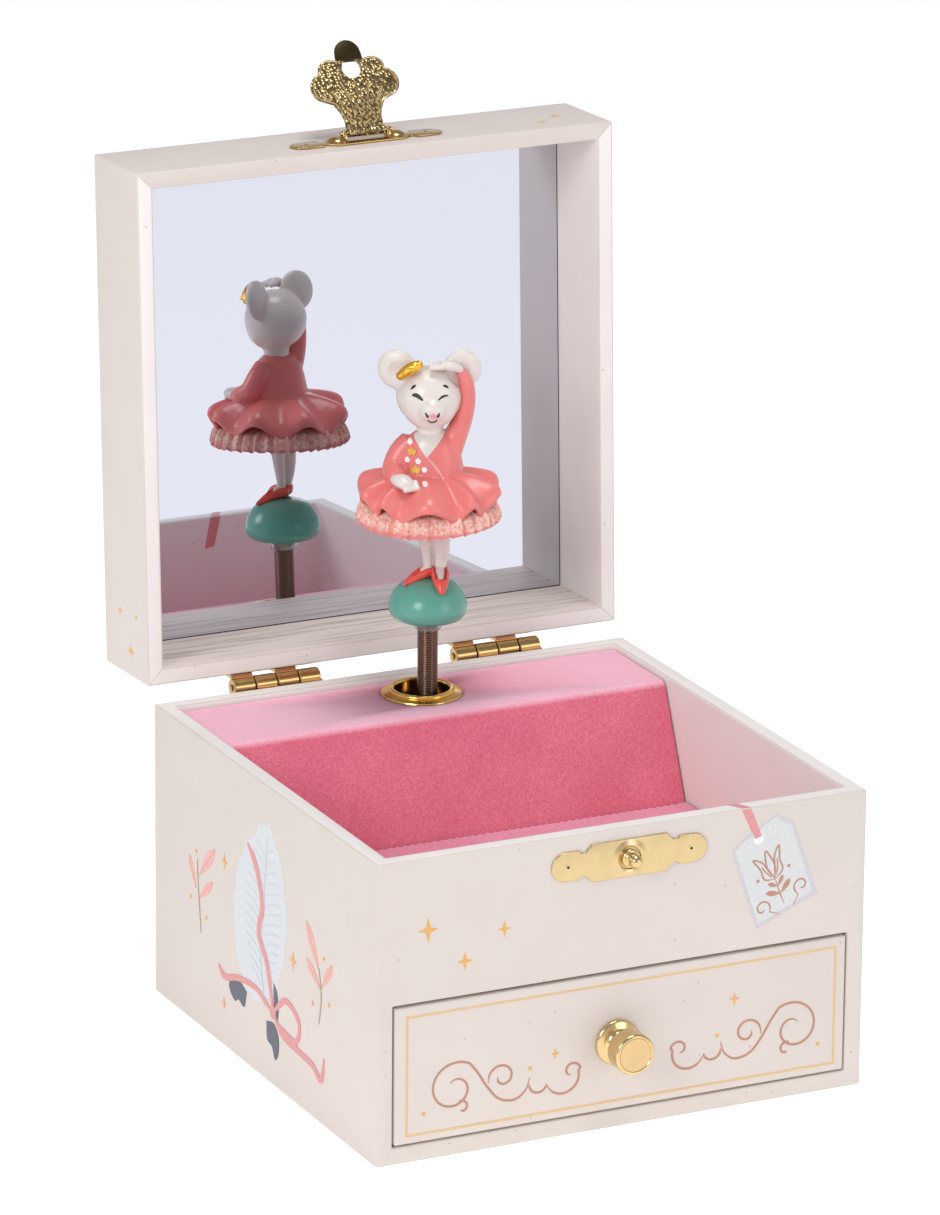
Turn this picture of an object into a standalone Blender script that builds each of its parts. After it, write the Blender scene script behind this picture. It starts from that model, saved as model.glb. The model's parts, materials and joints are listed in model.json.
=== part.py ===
"""A wind-up music box: a paper-covered case with a drawer, a mirrored lid and a dancer on a spring.

Sizes are in millimetres in this file and turned to metres where a mesh is made. The origin is the centre
of the base on the surface that the box stands on, +Z is up and -Y is the front, where the drawer opens.
"""

import math
from dataclasses import dataclass

import bmesh
import bpy

MM = 0.001

# Case
CASE = 120.0
HALF = CASE / 2
CASE_HEIGHT = 70.0
WALL = 4.0
GAP = 0.3
INNER = HALF - WALL
BASE_THICK = 3.5
DECK_TOP = 41.6
DECK_THICK = 4.0
PLATFORM_TOP = 67.0
PLATFORM_THICK = 2.4
LINER_THICK = 1.5
LINER_TOP = 68.8
LINER_EDGE_Y = 29.3
SLOPE_FOOT = (17.6, 41.9)
PARTITION = (15.0, 18.0)

# Drawer
OPENING_X = 56.0
OPENING_Z = (3.9, 36.8)
DRAWER_X = 55.5
DRAWER_Z = (4.4, 36.2)
DRAWER_BACK = 14.0
DRAWER_SIDE_TOP = 33.0
DRAWER_BOARD = 2.5
KNOB_X = -1.6
KNOB_Z = 20.3

# Lid, drawn shut, then turned open about the hinge axis
LID_ANGLE = 92.5
HINGE = (0.0, 63.0, 70.0)
LID_MOUTH = 70.3
LID_RAIL_TOP = 91.9
MIRROR = (91.1, 91.9)
LID_PANEL = (92.2, 94.6)

# Hinges
HINGE_LENGTH = 22.0
HINGE_X = (-28.3, 28.3)
BARREL_R = 2.2
PIN_R = 0.8
KNUCKLES = 4
LEAF = (0.25, 1.15)
LEAF_REACH = 9.5

# Clasp
CLASP_X = 0.8
CLASP_Z = 63.0
CLASP_LENGTH = 38.0
PLATE = (0.25, 0.85)
HASP_PIVOT = (CLASP_X, -62.2, 78.3)
HASP_ANGLE = 120.5
HASP_HOLE = 15.2
HASP_THICK = 0.7
NAIL_X = 15.1

# Dancer and spring
POST = (2.0, 44.8)
BEND_Z = 82.0
FACING = -25.6
SPRING_R = 2.4
SPRING = (61.0, 86.6)

# Movement
KEY_Z = 16.5
DRUM = (29.4, 50.4)
DRUM_R = 6.5
TEETH = 18
COARSE = 0.8267
FINE = 0.42
DRIVE_Z = (25.4, 27.4)
TOP_GEAR_Z = (51.2, 53.2)
WHEEL_Z = (54.0, 55.5)
GOVERNOR_X = POST[0] + FINE * (36 + 12) / 2
FAN_X = GOVERNOR_X + FINE * (36 + 9) / 2
BEDPLATE = (53.2, 55.6)


@dataclass
class Body:
    """A group that moves as one: an empty on its axis, and the axis in the drawn pose."""

    empty: object
    pivot: tuple


def clear_scene():
    for old in list(bpy.data.objects):
        bpy.data.objects.remove(old, do_unlink=True)


def add_body(name, pivot, parent=None, turn=(0.0, 0.0, 0.0)):
    empty = bpy.data.objects.new(name, None)
    bpy.context.scene.collection.objects.link(empty)
    start = parent.pivot if parent else (0.0, 0.0, 0.0)
    empty.location = [(a - b) * MM for a, b in zip(pivot, start)]
    empty.rotation_euler = [math.radians(a) for a in turn]
    if parent:
        empty.parent = parent.empty
    return Body(empty, tuple(pivot))


def make_material(name, finish):
    red, green, blue, rough, metal = finish
    material = bpy.data.materials.new(name)
    material.use_nodes = True
    shader = material.node_tree.nodes["Principled BSDF"]
    shader.inputs["Base Color"].default_value = (red, green, blue, 1.0)
    shader.inputs["Roughness"].default_value = rough
    shader.inputs["Metallic"].default_value = metal
    return material


PAPER = (0.79, 0.74, 0.70, 0.6, 0.0)
WOOD = (0.62, 0.48, 0.33, 0.7, 0.0)
FLOCK = (0.72, 0.25, 0.38, 0.95, 0.0)
BRASS = (0.83, 0.62, 0.28, 0.25, 1.0)
STEEL = (0.60, 0.58, 0.55, 0.3, 1.0)
SILVERED = (0.85, 0.88, 0.92, 0.03, 1.0)
CORAL = (0.78, 0.19, 0.16, 0.4, 0.0)
BLUSH = (0.85, 0.45, 0.38, 0.6, 0.0)
JADE = (0.12, 0.42, 0.33, 0.35, 0.0)
CREAM = (0.72, 0.67, 0.60, 0.4, 0.0)
CLEAR = (0.80, 0.82, 0.82, 0.2, 0.0)


def finish_mesh(name, bm, finish, body):
    """Turns a bmesh in millimetres of the drawn pose into a named object that rides on its body."""
    pivot = body.pivot if body else (0.0, 0.0, 0.0)
    bmesh.ops.recalc_face_normals(bm, faces=bm.faces[:])
    for vertex in bm.verts:
        vertex.co = [(a - b) * MM for a, b in zip(vertex.co, pivot)]
    mesh = bpy.data.meshes.new(name)
    bm.to_mesh(mesh)
    bm.free()
    mesh.shade_smooth()
    mesh.set_sharp_from_angle(angle=math.radians(35))
    item = bpy.data.objects.new(name, mesh)
    bpy.context.scene.collection.objects.link(item)
    if finish:
        mesh.materials.append(make_material(name + "_finish", finish))
    if body:
        item.parent = body.empty
    return item


def add_box(name, low, high, finish=None, body=None):
    bm = bmesh.new()
    corners = bmesh.ops.create_cube(bm, size=1.0)["verts"]
    for vertex in corners:
        vertex.co = [a + (b - a) * (c + 0.5) for a, b, c in zip(low, high, vertex.co)]
    return finish_mesh(name, bm, finish, body)


def place(axis, a, b, along):
    """A point with a and b across the axis and `along` on it: X takes (y, z), Y takes (x, z), Z takes (x, y)."""
    return {"X": (along, a, b), "Y": (a, along, b), "Z": (a, b, along)}[axis]


def add_plate(name, outline, axis, span, finish=None, body=None):
    """A flat outline pulled straight along an axis."""
    bm = bmesh.new()
    rows = [[bm.verts.new(place(axis, a, b, along)) for a, b in outline] for along in span]
    bm.faces.new(rows[0])
    bm.faces.new(rows[1])
    for i in range(len(outline)):
        j = (i + 1) % len(outline)
        bm.faces.new((rows[0][i], rows[0][j], rows[1][j], rows[1][i]))
    return finish_mesh(name, bm, finish, body)


def add_turned(name, profile, axis, centre, finish=None, body=None, steps=20):
    """A profile of (radius, along) turned about an axis. It is closed at its ends, or a ring when it is closed."""
    bm = bmesh.new()
    rings = []
    for radius, along in profile:
        count = 1 if radius == 0 else steps
        angles = [2 * math.pi * (k + 0.5) / steps for k in range(count)]
        places = [(centre[0] + radius * math.cos(t), centre[1] + radius * math.sin(t)) for t in angles]
        rings.append([bm.verts.new(place(axis, a, b, along)) for a, b in places])
    hollow = len(rings[0]) > 1
    pairs = list(zip(rings, rings[1:])) + ([(rings[-1], rings[0])] if hollow else [])
    for low, high in pairs:
        for k in range(steps):
            m = (k + 1) % steps
            corners = [low[k % len(low)], low[m % len(low)], high[m % len(high)], high[k % len(high)]]
            bm.faces.new(list(dict.fromkeys(corners)))
    return finish_mesh(name, bm, finish, body)


def add_limb(name, points, finish=None, body=None, steps=10):
    """A round limb through (x, y, z, radius) points with flat ends."""
    bm = bmesh.new()
    rings = []
    for i, (x, y, z, radius) in enumerate(points):
        before = points[max(i - 1, 0)]
        after = points[min(i + 1, len(points) - 1)]
        along = [b - a for a, b in zip(before[:3], after[:3])]
        size = math.sqrt(sum(a * a for a in along))
        ux, uy, uz = (a / size for a in along)
        helper = (0.0, 1.0, 0.0) if abs(uz) > 0.5 else (0.0, 0.0, 1.0)
        sx = helper[1] * uz - helper[2] * uy
        sy = helper[2] * ux - helper[0] * uz
        sz = helper[0] * uy - helper[1] * ux
        length = math.sqrt(sx * sx + sy * sy + sz * sz)
        sx, sy, sz = sx / length, sy / length, sz / length
        tx, ty, tz = uy * sz - uz * sy, uz * sx - ux * sz, ux * sy - uy * sx
        ring = []
        for k in range(steps):
            c, s = math.cos(2 * math.pi * k / steps), math.sin(2 * math.pi * k / steps)
            offset = (c * sx + s * tx, c * sy + s * ty, c * sz + s * tz)
            ring.append(bm.verts.new((x + radius * offset[0], y + radius * offset[1],
                z + radius * offset[2])))
        rings.append(ring)
    for low, high in zip(rings, rings[1:]):
        for k in range(steps):
            m = (k + 1) % steps
            bm.faces.new((low[k], low[m], high[m], high[k]))
    bm.faces.new(rings[0])
    bm.faces.new(rings[-1])
    return finish_mesh(name, bm, finish, body)


def add_ball(name, centre, radii, finish=None, body=None, segments=14, rings=9):
    bm = bmesh.new()
    made = bmesh.ops.create_uvsphere(bm, u_segments=segments, v_segments=rings, radius=1.0)
    for vertex in made["verts"]:
        vertex.co = [c + r * v for c, r, v in zip(centre, radii, vertex.co)]
    return finish_mesh(name, bm, finish, body)


def add_flared(name, outer, inner, waves, finish=None, body=None, steps=36):
    """A skirt: outer and inner profiles of (radius, z) down to a hem that rises and falls with its waves."""
    count, height, push = waves
    bm = bmesh.new()
    profile = outer + inner[::-1]
    widest = max(radius for radius, _ in profile)
    rings = []
    for radius, z in profile:
        share = (radius / widest) ** 3
        ring = []
        for k in range(steps):
            turn = 2 * math.pi * k / steps
            swing = math.cos(count * turn) * share
            far = radius + push * swing
            ring.append(bm.verts.new((POST[0] + far * math.cos(turn), POST[1] + far * math.sin(turn),
                z + height * swing)))
        rings.append(ring)
    for low, high in zip(rings, rings[1:] + rings[:1]):
        for k in range(steps):
            m = (k + 1) % steps
            bm.faces.new((low[k], low[m], high[m], high[k]))
    return finish_mesh(name, bm, finish, body)


def combine(item, tools, operation):
    """Cuts the tools from a piece, or joins them to it, with one Boolean each."""
    for tool in tools:
        tool.hide_render = True
        tool.display_type = "WIRE"
        step = item.modifiers.new(operation.lower() + "_" + tool.name, "BOOLEAN")
        step.operation = operation
        step.solver = "EXACT"
        step.object = tool
    return item


def cut(item, *tools):
    return combine(item, tools, "DIFFERENCE")


def fuse(item, *tools):
    return combine(item, tools, "UNION")


def rod(name, axis, centre, radius, span, finish=None, body=None, steps=12):
    profile = [(0, span[0]), (radius, span[0]), (radius, span[1]), (0, span[1])]
    return add_turned(name, profile, axis, centre, finish, body, steps)


def gear_outline(centre, teeth, module, phase, addendum, dedendum, width=0.35):
    """Straight-sided teeth: `width` is the tooth's share of the pitch at the pitch circle."""
    radius = module * teeth / 2
    pitch = 2 * math.pi / teeth
    points = []
    for k in range(teeth):
        middle = math.radians(phase) + k * pitch
        root, tip = radius - dedendum, radius + addendum
        for far, share in ((root, -0.62), (tip, -0.34), (tip, 0.34), (root, 0.62)):
            turn = middle + share * width * pitch
            points.append((centre[0] + far * math.cos(turn), centre[1] + far * math.sin(turn)))
    return points


def arc(centre, radius, start, end, count):
    """Points on an arc, in degrees."""
    turns = [math.radians(start + (end - start) * k / (count - 1)) for k in range(count)]
    return [(centre[0] + radius * math.cos(t), centre[1] + radius * math.sin(t)) for t in turns]


def build_case():
    front = add_box("case_front_board", (-HALF, -HALF, 0), (HALF, -INNER, CASE_HEIGHT), PAPER)
    opening = add_box("cut_drawer_opening", (-OPENING_X, -HALF - 1, OPENING_Z[0]),
        (OPENING_X, -INNER + 1, OPENING_Z[1]))
    pilots = [
        rod(f"cut_catch_pilot_{side}", "Y", (CLASP_X + side * NAIL_X, CLASP_Z), 1.0,
            (-HALF - 1, -HALF + 3), steps=8)
        for side in (-1, 1)
    ]
    socket = rod("cut_stud_socket", "Y", (CLASP_X, CLASP_Z), 1.2, (-HALF - 1, -HALF + 3), steps=8)
    cut(front, opening, socket, *pilots)
    back = add_box("case_back_board", (-HALF, INNER, 0), (HALF, HALF, CASE_HEIGHT), PAPER)
    cut(back, rod("cut_key_hole", "Y", (POST[0], KEY_Z), 3.0, (INNER - 1, HALF + 1)))
    for name, side in (("case_left_board", -1), ("case_right_board", 1)):
        x = sorted((side * HALF, side * INNER))
        add_box(name, (x[0], -INNER + GAP, 0), (x[1], INNER - GAP, CASE_HEIGHT), PAPER)
    reach = INNER - GAP
    add_box("base_board", (-reach, -reach, 0), (reach, reach, BASE_THICK), WOOD)
    add_box("tray_deck", (-reach, -reach, DECK_TOP - DECK_THICK), (reach, 20, DECK_TOP), WOOD)
    low = (-reach, PARTITION[0], BASE_THICK + GAP)
    add_box("bay_partition", low, (reach, PARTITION[1], DECK_TOP - DECK_THICK - GAP), WOOD)
    platform = add_box("platform_board", (-reach, 30.5, PLATFORM_TOP - PLATFORM_THICK),
        (reach, reach, PLATFORM_TOP), WOOD)
    cut(platform, rod("cut_platform_hole", "Z", POST, 7.4, (60, 70), steps=20))
    build_liner()


def build_liner():
    """The flocked card is one bent sheet: the platform's cover and the slope down to the tray."""
    foot_y, foot_z = SLOPE_FOOT
    run, rise = LINER_EDGE_Y - foot_y, LINER_TOP - foot_z
    slant = LINER_THICK * math.hypot(run, rise) / rise
    under = LINER_TOP - LINER_THICK
    bend = foot_y + slant + run * (under - foot_z) / rise
    back = INNER - 0.5
    outline = [(foot_y, foot_z), (LINER_EDGE_Y, LINER_TOP), (back, LINER_TOP), (back, under), (bend, under)]
    outline.append((foot_y + slant, foot_z))
    liner = add_plate("flocked_liner", outline, "X", (-back, back), FLOCK)
    cut(liner, rod("cut_liner_hole", "Z", POST, 7.4, (60, 75), steps=20))
    add_box("tray_floor_pad", (-back, -back, DECK_TOP + GAP), (back, foot_y - 0.4, DECK_TOP + 1.6), FLOCK)
    barrel, bore, flange, top = 6.9, 6.3, 9.5, LINER_TOP + GAP
    profile = [(bore, 64.2), (barrel, 64.2), (barrel, top), (flange, top), (flange - 0.3, top + 0.45)]
    profile += [(barrel + 1.0, top + 1.3), (barrel + 0.2, top + 1.6), (bore + 0.2, top + 1.3),
        (bore, top + 0.8)]
    add_turned("platform_eyelet", profile, "Z", POST, BRASS, steps=24)


def clasp_outline(z_middle, half_length, half_height, end_height, middle):
    """A long plate with a raised middle, a small notch beside it and a round end lobe."""
    upper = [(middle, half_height), (middle + 0.9, half_height - 0.9), (middle + 1.2, end_height - 0.9)]
    upper += [(middle + 2.4, end_height)]
    lobe = arc((half_length - end_height, 0), end_height, 90, 0, 5)
    quarter = upper + lobe
    top_half = quarter + [(x, -z) for x, z in quarter[-2::-1]]
    left = [(-x, -z) for x, z in top_half]
    return [(CLASP_X + x, z_middle + z) for x, z in top_half + left]


def build_catch():
    face = -HALF
    outline = clasp_outline(CLASP_Z, CLASP_LENGTH / 2, 4.4, 3.4, 9.4)
    plate = add_plate("catch_plate", outline, "Y", (face - PLATE[1], face - PLATE[0]), BRASS)
    holes = [
        rod(f"cut_catch_hole_{side}", "Y", (CLASP_X + side * NAIL_X, CLASP_Z), 1.0, (face - 2, face),
            steps=10)
        for side in (-1, 1)
    ]
    middle = rod("cut_catch_middle", "Y", (CLASP_X, CLASP_Z), 1.2, (face - 2, face), steps=10)
    cut(plate, middle, *holes)
    stud = [(0, face + 2.4), (0.85, face + 2.4), (0.85, face - 1.1), (2.2, face - 1.1), (2.2, face - 1.5)]
    stud += [(1.3, face - 1.8), (1.3, face - 2.6), (1.8, face - 3.2), (1.8, face - 3.8), (1.1, face - 4.5),
        (0, face - 4.6)]
    add_turned("catch_stud", stud, "Y", (CLASP_X, CLASP_Z), BRASS, steps=14)
    for name, side in (("catch_nail_left", -1), ("catch_nail_right", 1)):
        add_nail(name, (CLASP_X + side * NAIL_X, CLASP_Z), face, BRASS, None)


def add_nail(name, centre, face, finish, body):
    head = face - PLATE[1] - 0.25
    profile = [(0, face + 2.5), (0.7, face + 2.3), (0.7, head), (1.5, head), (1.3, head - 0.4),
        (0, head - 0.7)]
    add_turned(name, profile, "Y", centre, finish, body, steps=10)


def build_hinges(lid):
    axis_y, axis_z = HINGE[1], HINGE[2]
    step = HINGE_LENGTH / KNUCKLES
    for side, x in zip(("left", "right"), HINGE_X):
        start = x - HINGE_LENGTH / 2
        for owner, first, body in (("case", 1, None), ("lid", 0, lid)):
            up = 1 if owner == "lid" else -1
            name = f"{side}_hinge_{owner}_leaf"
            z = sorted((axis_z + up * GAP, axis_z + up * LEAF_REACH))
            low = (start, HALF + LEAF[0], z[0])
            leaf = add_box(name, low, (start + HINGE_LENGTH, HALF + LEAF[1], z[1]), BRASS, body)
            clears = []
            rolls = []
            for k in range(KNUCKLES):
                span = (start + k * step + 0.15, start + (k + 1) * step - 0.15)
                if k % 2 == first:
                    rolls.append(rod(f"roll_{name}_{k}", "X", (axis_y, axis_z), BARREL_R, span, None, body,
                        12))
                else:
                    wide = (span[0] - 0.3, span[1] + 0.3)
                    clears.append(rod(f"cut_{name}_{k}", "X", (axis_y, axis_z), BARREL_R + 0.8, wide, None,
                        body, 12))
            bore = rod(f"cut_{name}_bore", "X", (axis_y, axis_z), 1.15,
                (start - 1, start + HINGE_LENGTH + 1), None, body, 12)
            cut(fuse(cut(leaf, *clears), *rolls), bore)
        span = (start - 0.3, start + HINGE_LENGTH + 0.3)
        rod(f"{side}_hinge_pin", "X", (axis_y, axis_z), PIN_R, span, STEEL, None, 10)


def build_lid(lid):
    low, high = LID_MOUTH, LID_RAIL_TOP
    front = add_box("lid_front_rail", (-HALF, -HALF, low), (HALF, -INNER, high), PAPER, lid)
    pilots = [
        rod(f"cut_hasp_pilot_{side}", "Y", (CLASP_X + side * NAIL_X, HASP_PIVOT[2]), 1.0,
            (-HALF - 1, -HALF + 3), None, lid, 8)
        for side in (-1, 1)
    ]
    cut(front, *pilots)
    add_box("lid_back_rail", (-HALF, INNER, low), (HALF, HALF, high), PAPER, lid)
    reach = INNER - GAP
    add_box("lid_left_rail", (-HALF, -reach, low), (-INNER, reach, high), PAPER, lid)
    add_box("lid_right_rail", (INNER, -reach, low), (HALF, reach, high), PAPER, lid)
    add_box("lid_top_panel", (-HALF, -HALF, LID_PANEL[0]), (HALF, HALF, LID_PANEL[1]), PAPER, lid)
    add_box("mirror", (-reach, -reach, MIRROR[0]), (reach, reach, MIRROR[1]), SILVERED, lid)


def build_hasp(lid, hasp):
    face = -HALF
    pivot_z = HASP_PIVOT[2]
    outline = clasp_outline(pivot_z, CLASP_LENGTH / 2, 3.6, 3.2, 9.4)
    plate = add_plate("hasp_plate", outline, "Y", (face - PLATE[1], face - PLATE[0]), BRASS, lid)
    ears = []
    for side in (-1, 1):
        x = sorted((CLASP_X + side * 5.1, CLASP_X + side * 6.6))
        low = (x[0], HASP_PIVOT[1] - 1.3, pivot_z - 1.3)
        ears.append(add_box(f"ear_{side}", low, (x[1], face - PLATE[0] - 0.2, pivot_z + 1.3), None, lid))
    holes = [
        rod(f"cut_hasp_hole_{side}", "Y", (CLASP_X + side * NAIL_X, pivot_z), 1.0, (face - 2, face), None,
            lid, 10)
        for side in (-1, 1)
    ]
    ear_bore = rod("cut_ear_bore", "X", (HASP_PIVOT[1], pivot_z), 0.75, (-8, 10), None, lid, 10)
    cut(fuse(plate, *ears), ear_bore, *holes)
    rod("hasp_pin", "X", (HASP_PIVOT[1], pivot_z), 0.45, (CLASP_X - 6.8, CLASP_X + 6.8), STEEL, lid, 8)
    for name, side in (("hasp_nail_left", -1), ("hasp_nail_right", 1)):
        add_nail(name, (CLASP_X + side * NAIL_X, pivot_z), face, BRASS, lid)
    build_hasp_tongue(hasp)


def build_hasp_tongue(hasp):
    """A shell shape drawn hanging down: a neck at the pivot, two lobes each side and a round thumb tab."""
    x, pivot_z = CLASP_X, HASP_PIVOT[2]
    half = [(4.7, 0.6), (4.7, 3.2), (6.4, 5.6)]
    half += arc((6.9, 11.2), 4.3, -60, 50, 6)
    half += arc((5.2, 15.0), 3.2, -10, 75, 4)
    half += arc((0, 19.4), 3.25, 25, 90, 4)
    outline = [(x + a, pivot_z - b) for a, b in half] + [(x - a, pivot_z - b) for a, b in half[-2::-1]]
    y = HASP_PIVOT[1]
    tongue = add_plate("hasp", outline, "Y", (y - HASP_THICK / 2, y + HASP_THICK / 2), BRASS, hasp)
    roll = rod("roll_hasp", "X", (y, pivot_z), 1.05, (x - 4.7, x + 4.7), None, hasp, 12)
    bore = rod("cut_hasp_bore", "X", (y, pivot_z), 0.65, (x - 6, x + 6), None, hasp, 12)
    hole = rod("cut_stud_hole", "Y", (x, pivot_z - HASP_HOLE), 2.45, (y - 2, y + 2), None, hasp, 16)
    cut(fuse(tongue, roll), bore, hole)


def build_drawer(drawer):
    face, low, high = -HALF, DRAWER_Z[0], DRAWER_Z[1]
    front = add_box("drawer_front", (-DRAWER_X, face, low), (DRAWER_X, -INNER, high), PAPER, drawer)
    cut(front, rod("cut_knob_hole", "Y", (KNOB_X, KNOB_Z), 1.9, (face - 1, -INNER + 1), None, drawer))
    start = -INNER + GAP
    side_x = DRAWER_X - GAP
    for name, side in (("drawer_left_side", -1), ("drawer_right_side", 1)):
        x = sorted((side * side_x, side * (side_x - DRAWER_BOARD)))
        add_box(name, (x[0], start, low), (x[1], DRAWER_BACK, DRAWER_SIDE_TOP), WOOD, drawer)
    inside = side_x - DRAWER_BOARD - GAP
    back = DRAWER_BACK - DRAWER_BOARD
    add_box("drawer_back", (-inside, back, low), (inside, DRAWER_BACK, DRAWER_SIDE_TOP), WOOD, drawer)
    floor = low + 2.0
    add_box("drawer_bottom", (-inside, start, low), (inside, back - GAP, floor), WOOD, drawer)
    edge = 0.3
    low_corner = (-inside + edge, start + edge, floor + GAP)
    add_box("drawer_liner", low_corner, (inside - edge, back - 2 * GAP, floor + 1.1), FLOCK, drawer)
    profile = [(0, face - 5.0), (1.9, face - 5.0), (1.9, face - 0.25), (4.7, face - 0.25), (5.3, face - 0.7)]
    profile += [(5.3, face - 1.3), (4.6, face - 1.8), (3.0, face - 2.3), (2.7, face - 3.6), (3.2, face - 4.6)]
    profile += [(4.3, face - 5.1), (4.75, face - 5.7), (4.75, face - 9.6), (4.3, face - 10.2),
        (3.9, face - 10.3)]
    profile += [(3.7, face - 10.1), (0, face - 10.1)]
    add_turned("drawer_knob", profile, "Y", (KNOB_X, KNOB_Z), BRASS, drawer, 24)
    head = -INNER + 0.25
    screw = [(0, head + 1.5), (2.4, head + 1.2), (2.8, head), (1.5, head), (1.5, face - 4.6), (0, face - 4.6)]
    add_turned("drawer_knob_screw", screw, "Y", (KNOB_X, KNOB_Z), STEEL, drawer, 12)


def build_post(arm):
    profile = [(0, SPRING[0]), (SPRING_R, SPRING[0]), (SPRING_R, SPRING[1]), (0, SPRING[1])]
    add_turned("pop_up_spring", profile, "Z", POST, STEEL, arm, 14)
    collar = [(2.75, 83.4), (3.6, 83.4), (3.9, 84.2), (3.9, 86.6), (2.75, 86.6)]
    add_turned("figure_collar", collar, "Z", POST, CLEAR, arm, 16)


def build_figure(figure):
    """The dancer looks along -Y before its empty turns it to face front left."""
    x, y = POST
    dome = [(0, 86.95), (7.4, 86.95), (8.6, 87.9), (9.0, 89.3), (8.7, 91.2), (7.5, 93.6), (5.2, 95.6),
        (2.8, 96.5), (0, 96.8)]
    add_turned("figure_dome", dome, "Z", POST, JADE, figure, 20)
    legs = add_limb("figure_legs", [(x - 0.3, y + 0.6, 98.0, 1.0), (x - 0.5, y + 0.2, 104, 1.3),
        (x - 1.6, y, 112.4, 2.0)], CREAM, figure, 8)
    other = add_limb("leg_right", [(x + 2.7, y - 1.0, 97.8, 1.0), (x + 3.1, y - 0.5, 104, 1.6),
        (x + 2.6, y, 112.4, 2.0)], None, figure, 8)
    hips = add_turned("hips", [(0, 110.5), (4.6, 110.5), (4.6, 112.6), (0, 112.6)], "Z", POST, None,
        figure, 14)
    left_shoe = add_limb("left_shoe", [(x + 0.6, y + 0.9, 98.2, 1.1), (x - 2.0, y - 0.6, 97.9, 1.1),
        (x - 6.2, y - 2.6, 95.9, 0.5)], None, figure, 8)
    right_shoe = add_limb("right_shoe", [(x + 2.7, y + 0.1, 98.2, 1.1), (x + 2.9, y - 2.6, 97.6, 1.2),
        (x + 3.2, y - 6.6, 95.0, 0.5)], None, figure, 8)
    fuse(legs, hips, other, left_shoe, right_shoe)
    outer = [(5.3, 116.6), (9.5, 115.2), (14.5, 113.2), (16.6, 111.6), (16.9, 110.6)]
    inner = [(5.3, 113.0), (9.5, 112.6), (14.5, 111.0), (16.0, 110.4)]
    add_flared("figure_petticoat", outer, inner, (18, 0.2, 0.25), BLUSH, figure, 36)
    build_dress(figure)
    head = add_ball("figure_head", (x, y, 139.4), (7.6, 7.6, 7.5), CREAM, figure, 16, 12)
    muzzle = add_ball("muzzle", (x + 0.9, y - 6.6, 135.6), (3.6, 4.0, 3.0), None, figure, 10, 8)
    ears = [add_ball(f"head_ear_{side}", (x + side * 7.3, y + 0.6, 146.2), (4.3, 2.0, 4.5), None, figure,
        12, 8) for side in (-1, 1)]
    fuse(head, muzzle, *ears)


def build_dress(figure):
    """Skirt, bodice and both arms are one moulding; the raised arm curls over the head."""
    x, y = POST
    outer = [(4.2, 122.8), (7.0, 121.6), (11.5, 119.4), (15.6, 117.3), (17.4, 115.6)]
    inner = [(4.2, 117.6), (7.0, 118.0), (11.5, 116.8), (15.6, 115.6), (16.8, 115.0)]
    dress = add_flared("figure_dress", outer, inner, (8, 0.9, 0.6), CORAL, figure, 48)
    body = [(0, 116.9), (5.5, 117.2), (6.6, 121.0), (6.2, 125.0), (5.8, 129.0), (4.6, 131.0), (0, 131.4)]
    bodice = add_turned("bodice", body, "Z", (x + 0.2, y + 0.4), None, figure, 14)
    raised = [(x + 5.0, y + 1.0, 128.0, 2.9), (x + 6.8, y + 3.4, 131.0, 2.4), (x + 8.9, y + 4.4, 135.5, 2.0)]
    raised += [(x + 10.4, y + 4.4, 140.0, 1.8), (x + 12.3, y + 3.2, 142.5, 1.6)]
    lowered = [(x - 4.6, y + 0.6, 129.0, 2.7), (x - 7.6, y - 0.4, 125.0, 2.6), (x - 8.6, y - 3.4, 122.6, 2.4)]
    lowered += [(x - 6.6, y - 6.8, 121.6, 1.9), (x - 4.4, y - 8.6, 121.4, 1.5)]
    arms = [add_limb("raised_arm", raised, None, figure, 8),
        add_limb("lowered_arm", lowered, None, figure, 8)]
    fuse(dress, bodice, *arms)


def build_movement(drum_body, key, governor, fan):
    x, y = POST
    back = BEDPLATE[0] + 0.2
    plate = add_box("movement_bedplate", (x - 29, BEDPLATE[0], 6), (x + 24, BEDPLATE[1], 61), STEEL)
    anvil = add_box("anvil", (x - 29, 45.7, 29), (x - 17.5, back, 51))
    top = add_box("top_bracket", (x - 8, 38, 57), (x + 24, back, 58.6))
    foot = add_box("foot_bracket", (x - 6, 41.2, 20.6), (x + 6, back, 22.6))
    shelf = add_box("governor_bracket", (GOVERNOR_X - 2.6, 41.2, 35.4), (x + 24, back, 37))
    holes = [
        rod("cut_drum_bearing", "Z", POST, 1.6, (19, 60)),
        rod("cut_governor_bearing", "Z", (GOVERNOR_X, y), 1.35, (30, 60)),
        rod("cut_fan_bearing", "Z", (FAN_X, y), 1.2, (30, 60)),
        rod("cut_key_bearing", "Y", (x, KEY_Z), 1.9, (50, 58)),
    ]
    screws = [x - 22.5, 34.0, 46.0]
    for k, z in enumerate(screws[1:]):
        holes.append(rod(f"cut_comb_thread_{k}", "Y", (screws[0], z), 1.3, (40, 51.5), steps=10))
    cut(fuse(plate, anvil, top, foot, shelf), *holes)
    build_comb(screws)
    build_drum(drum_body)
    build_drive(key)
    build_governor(governor, fan)


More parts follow.
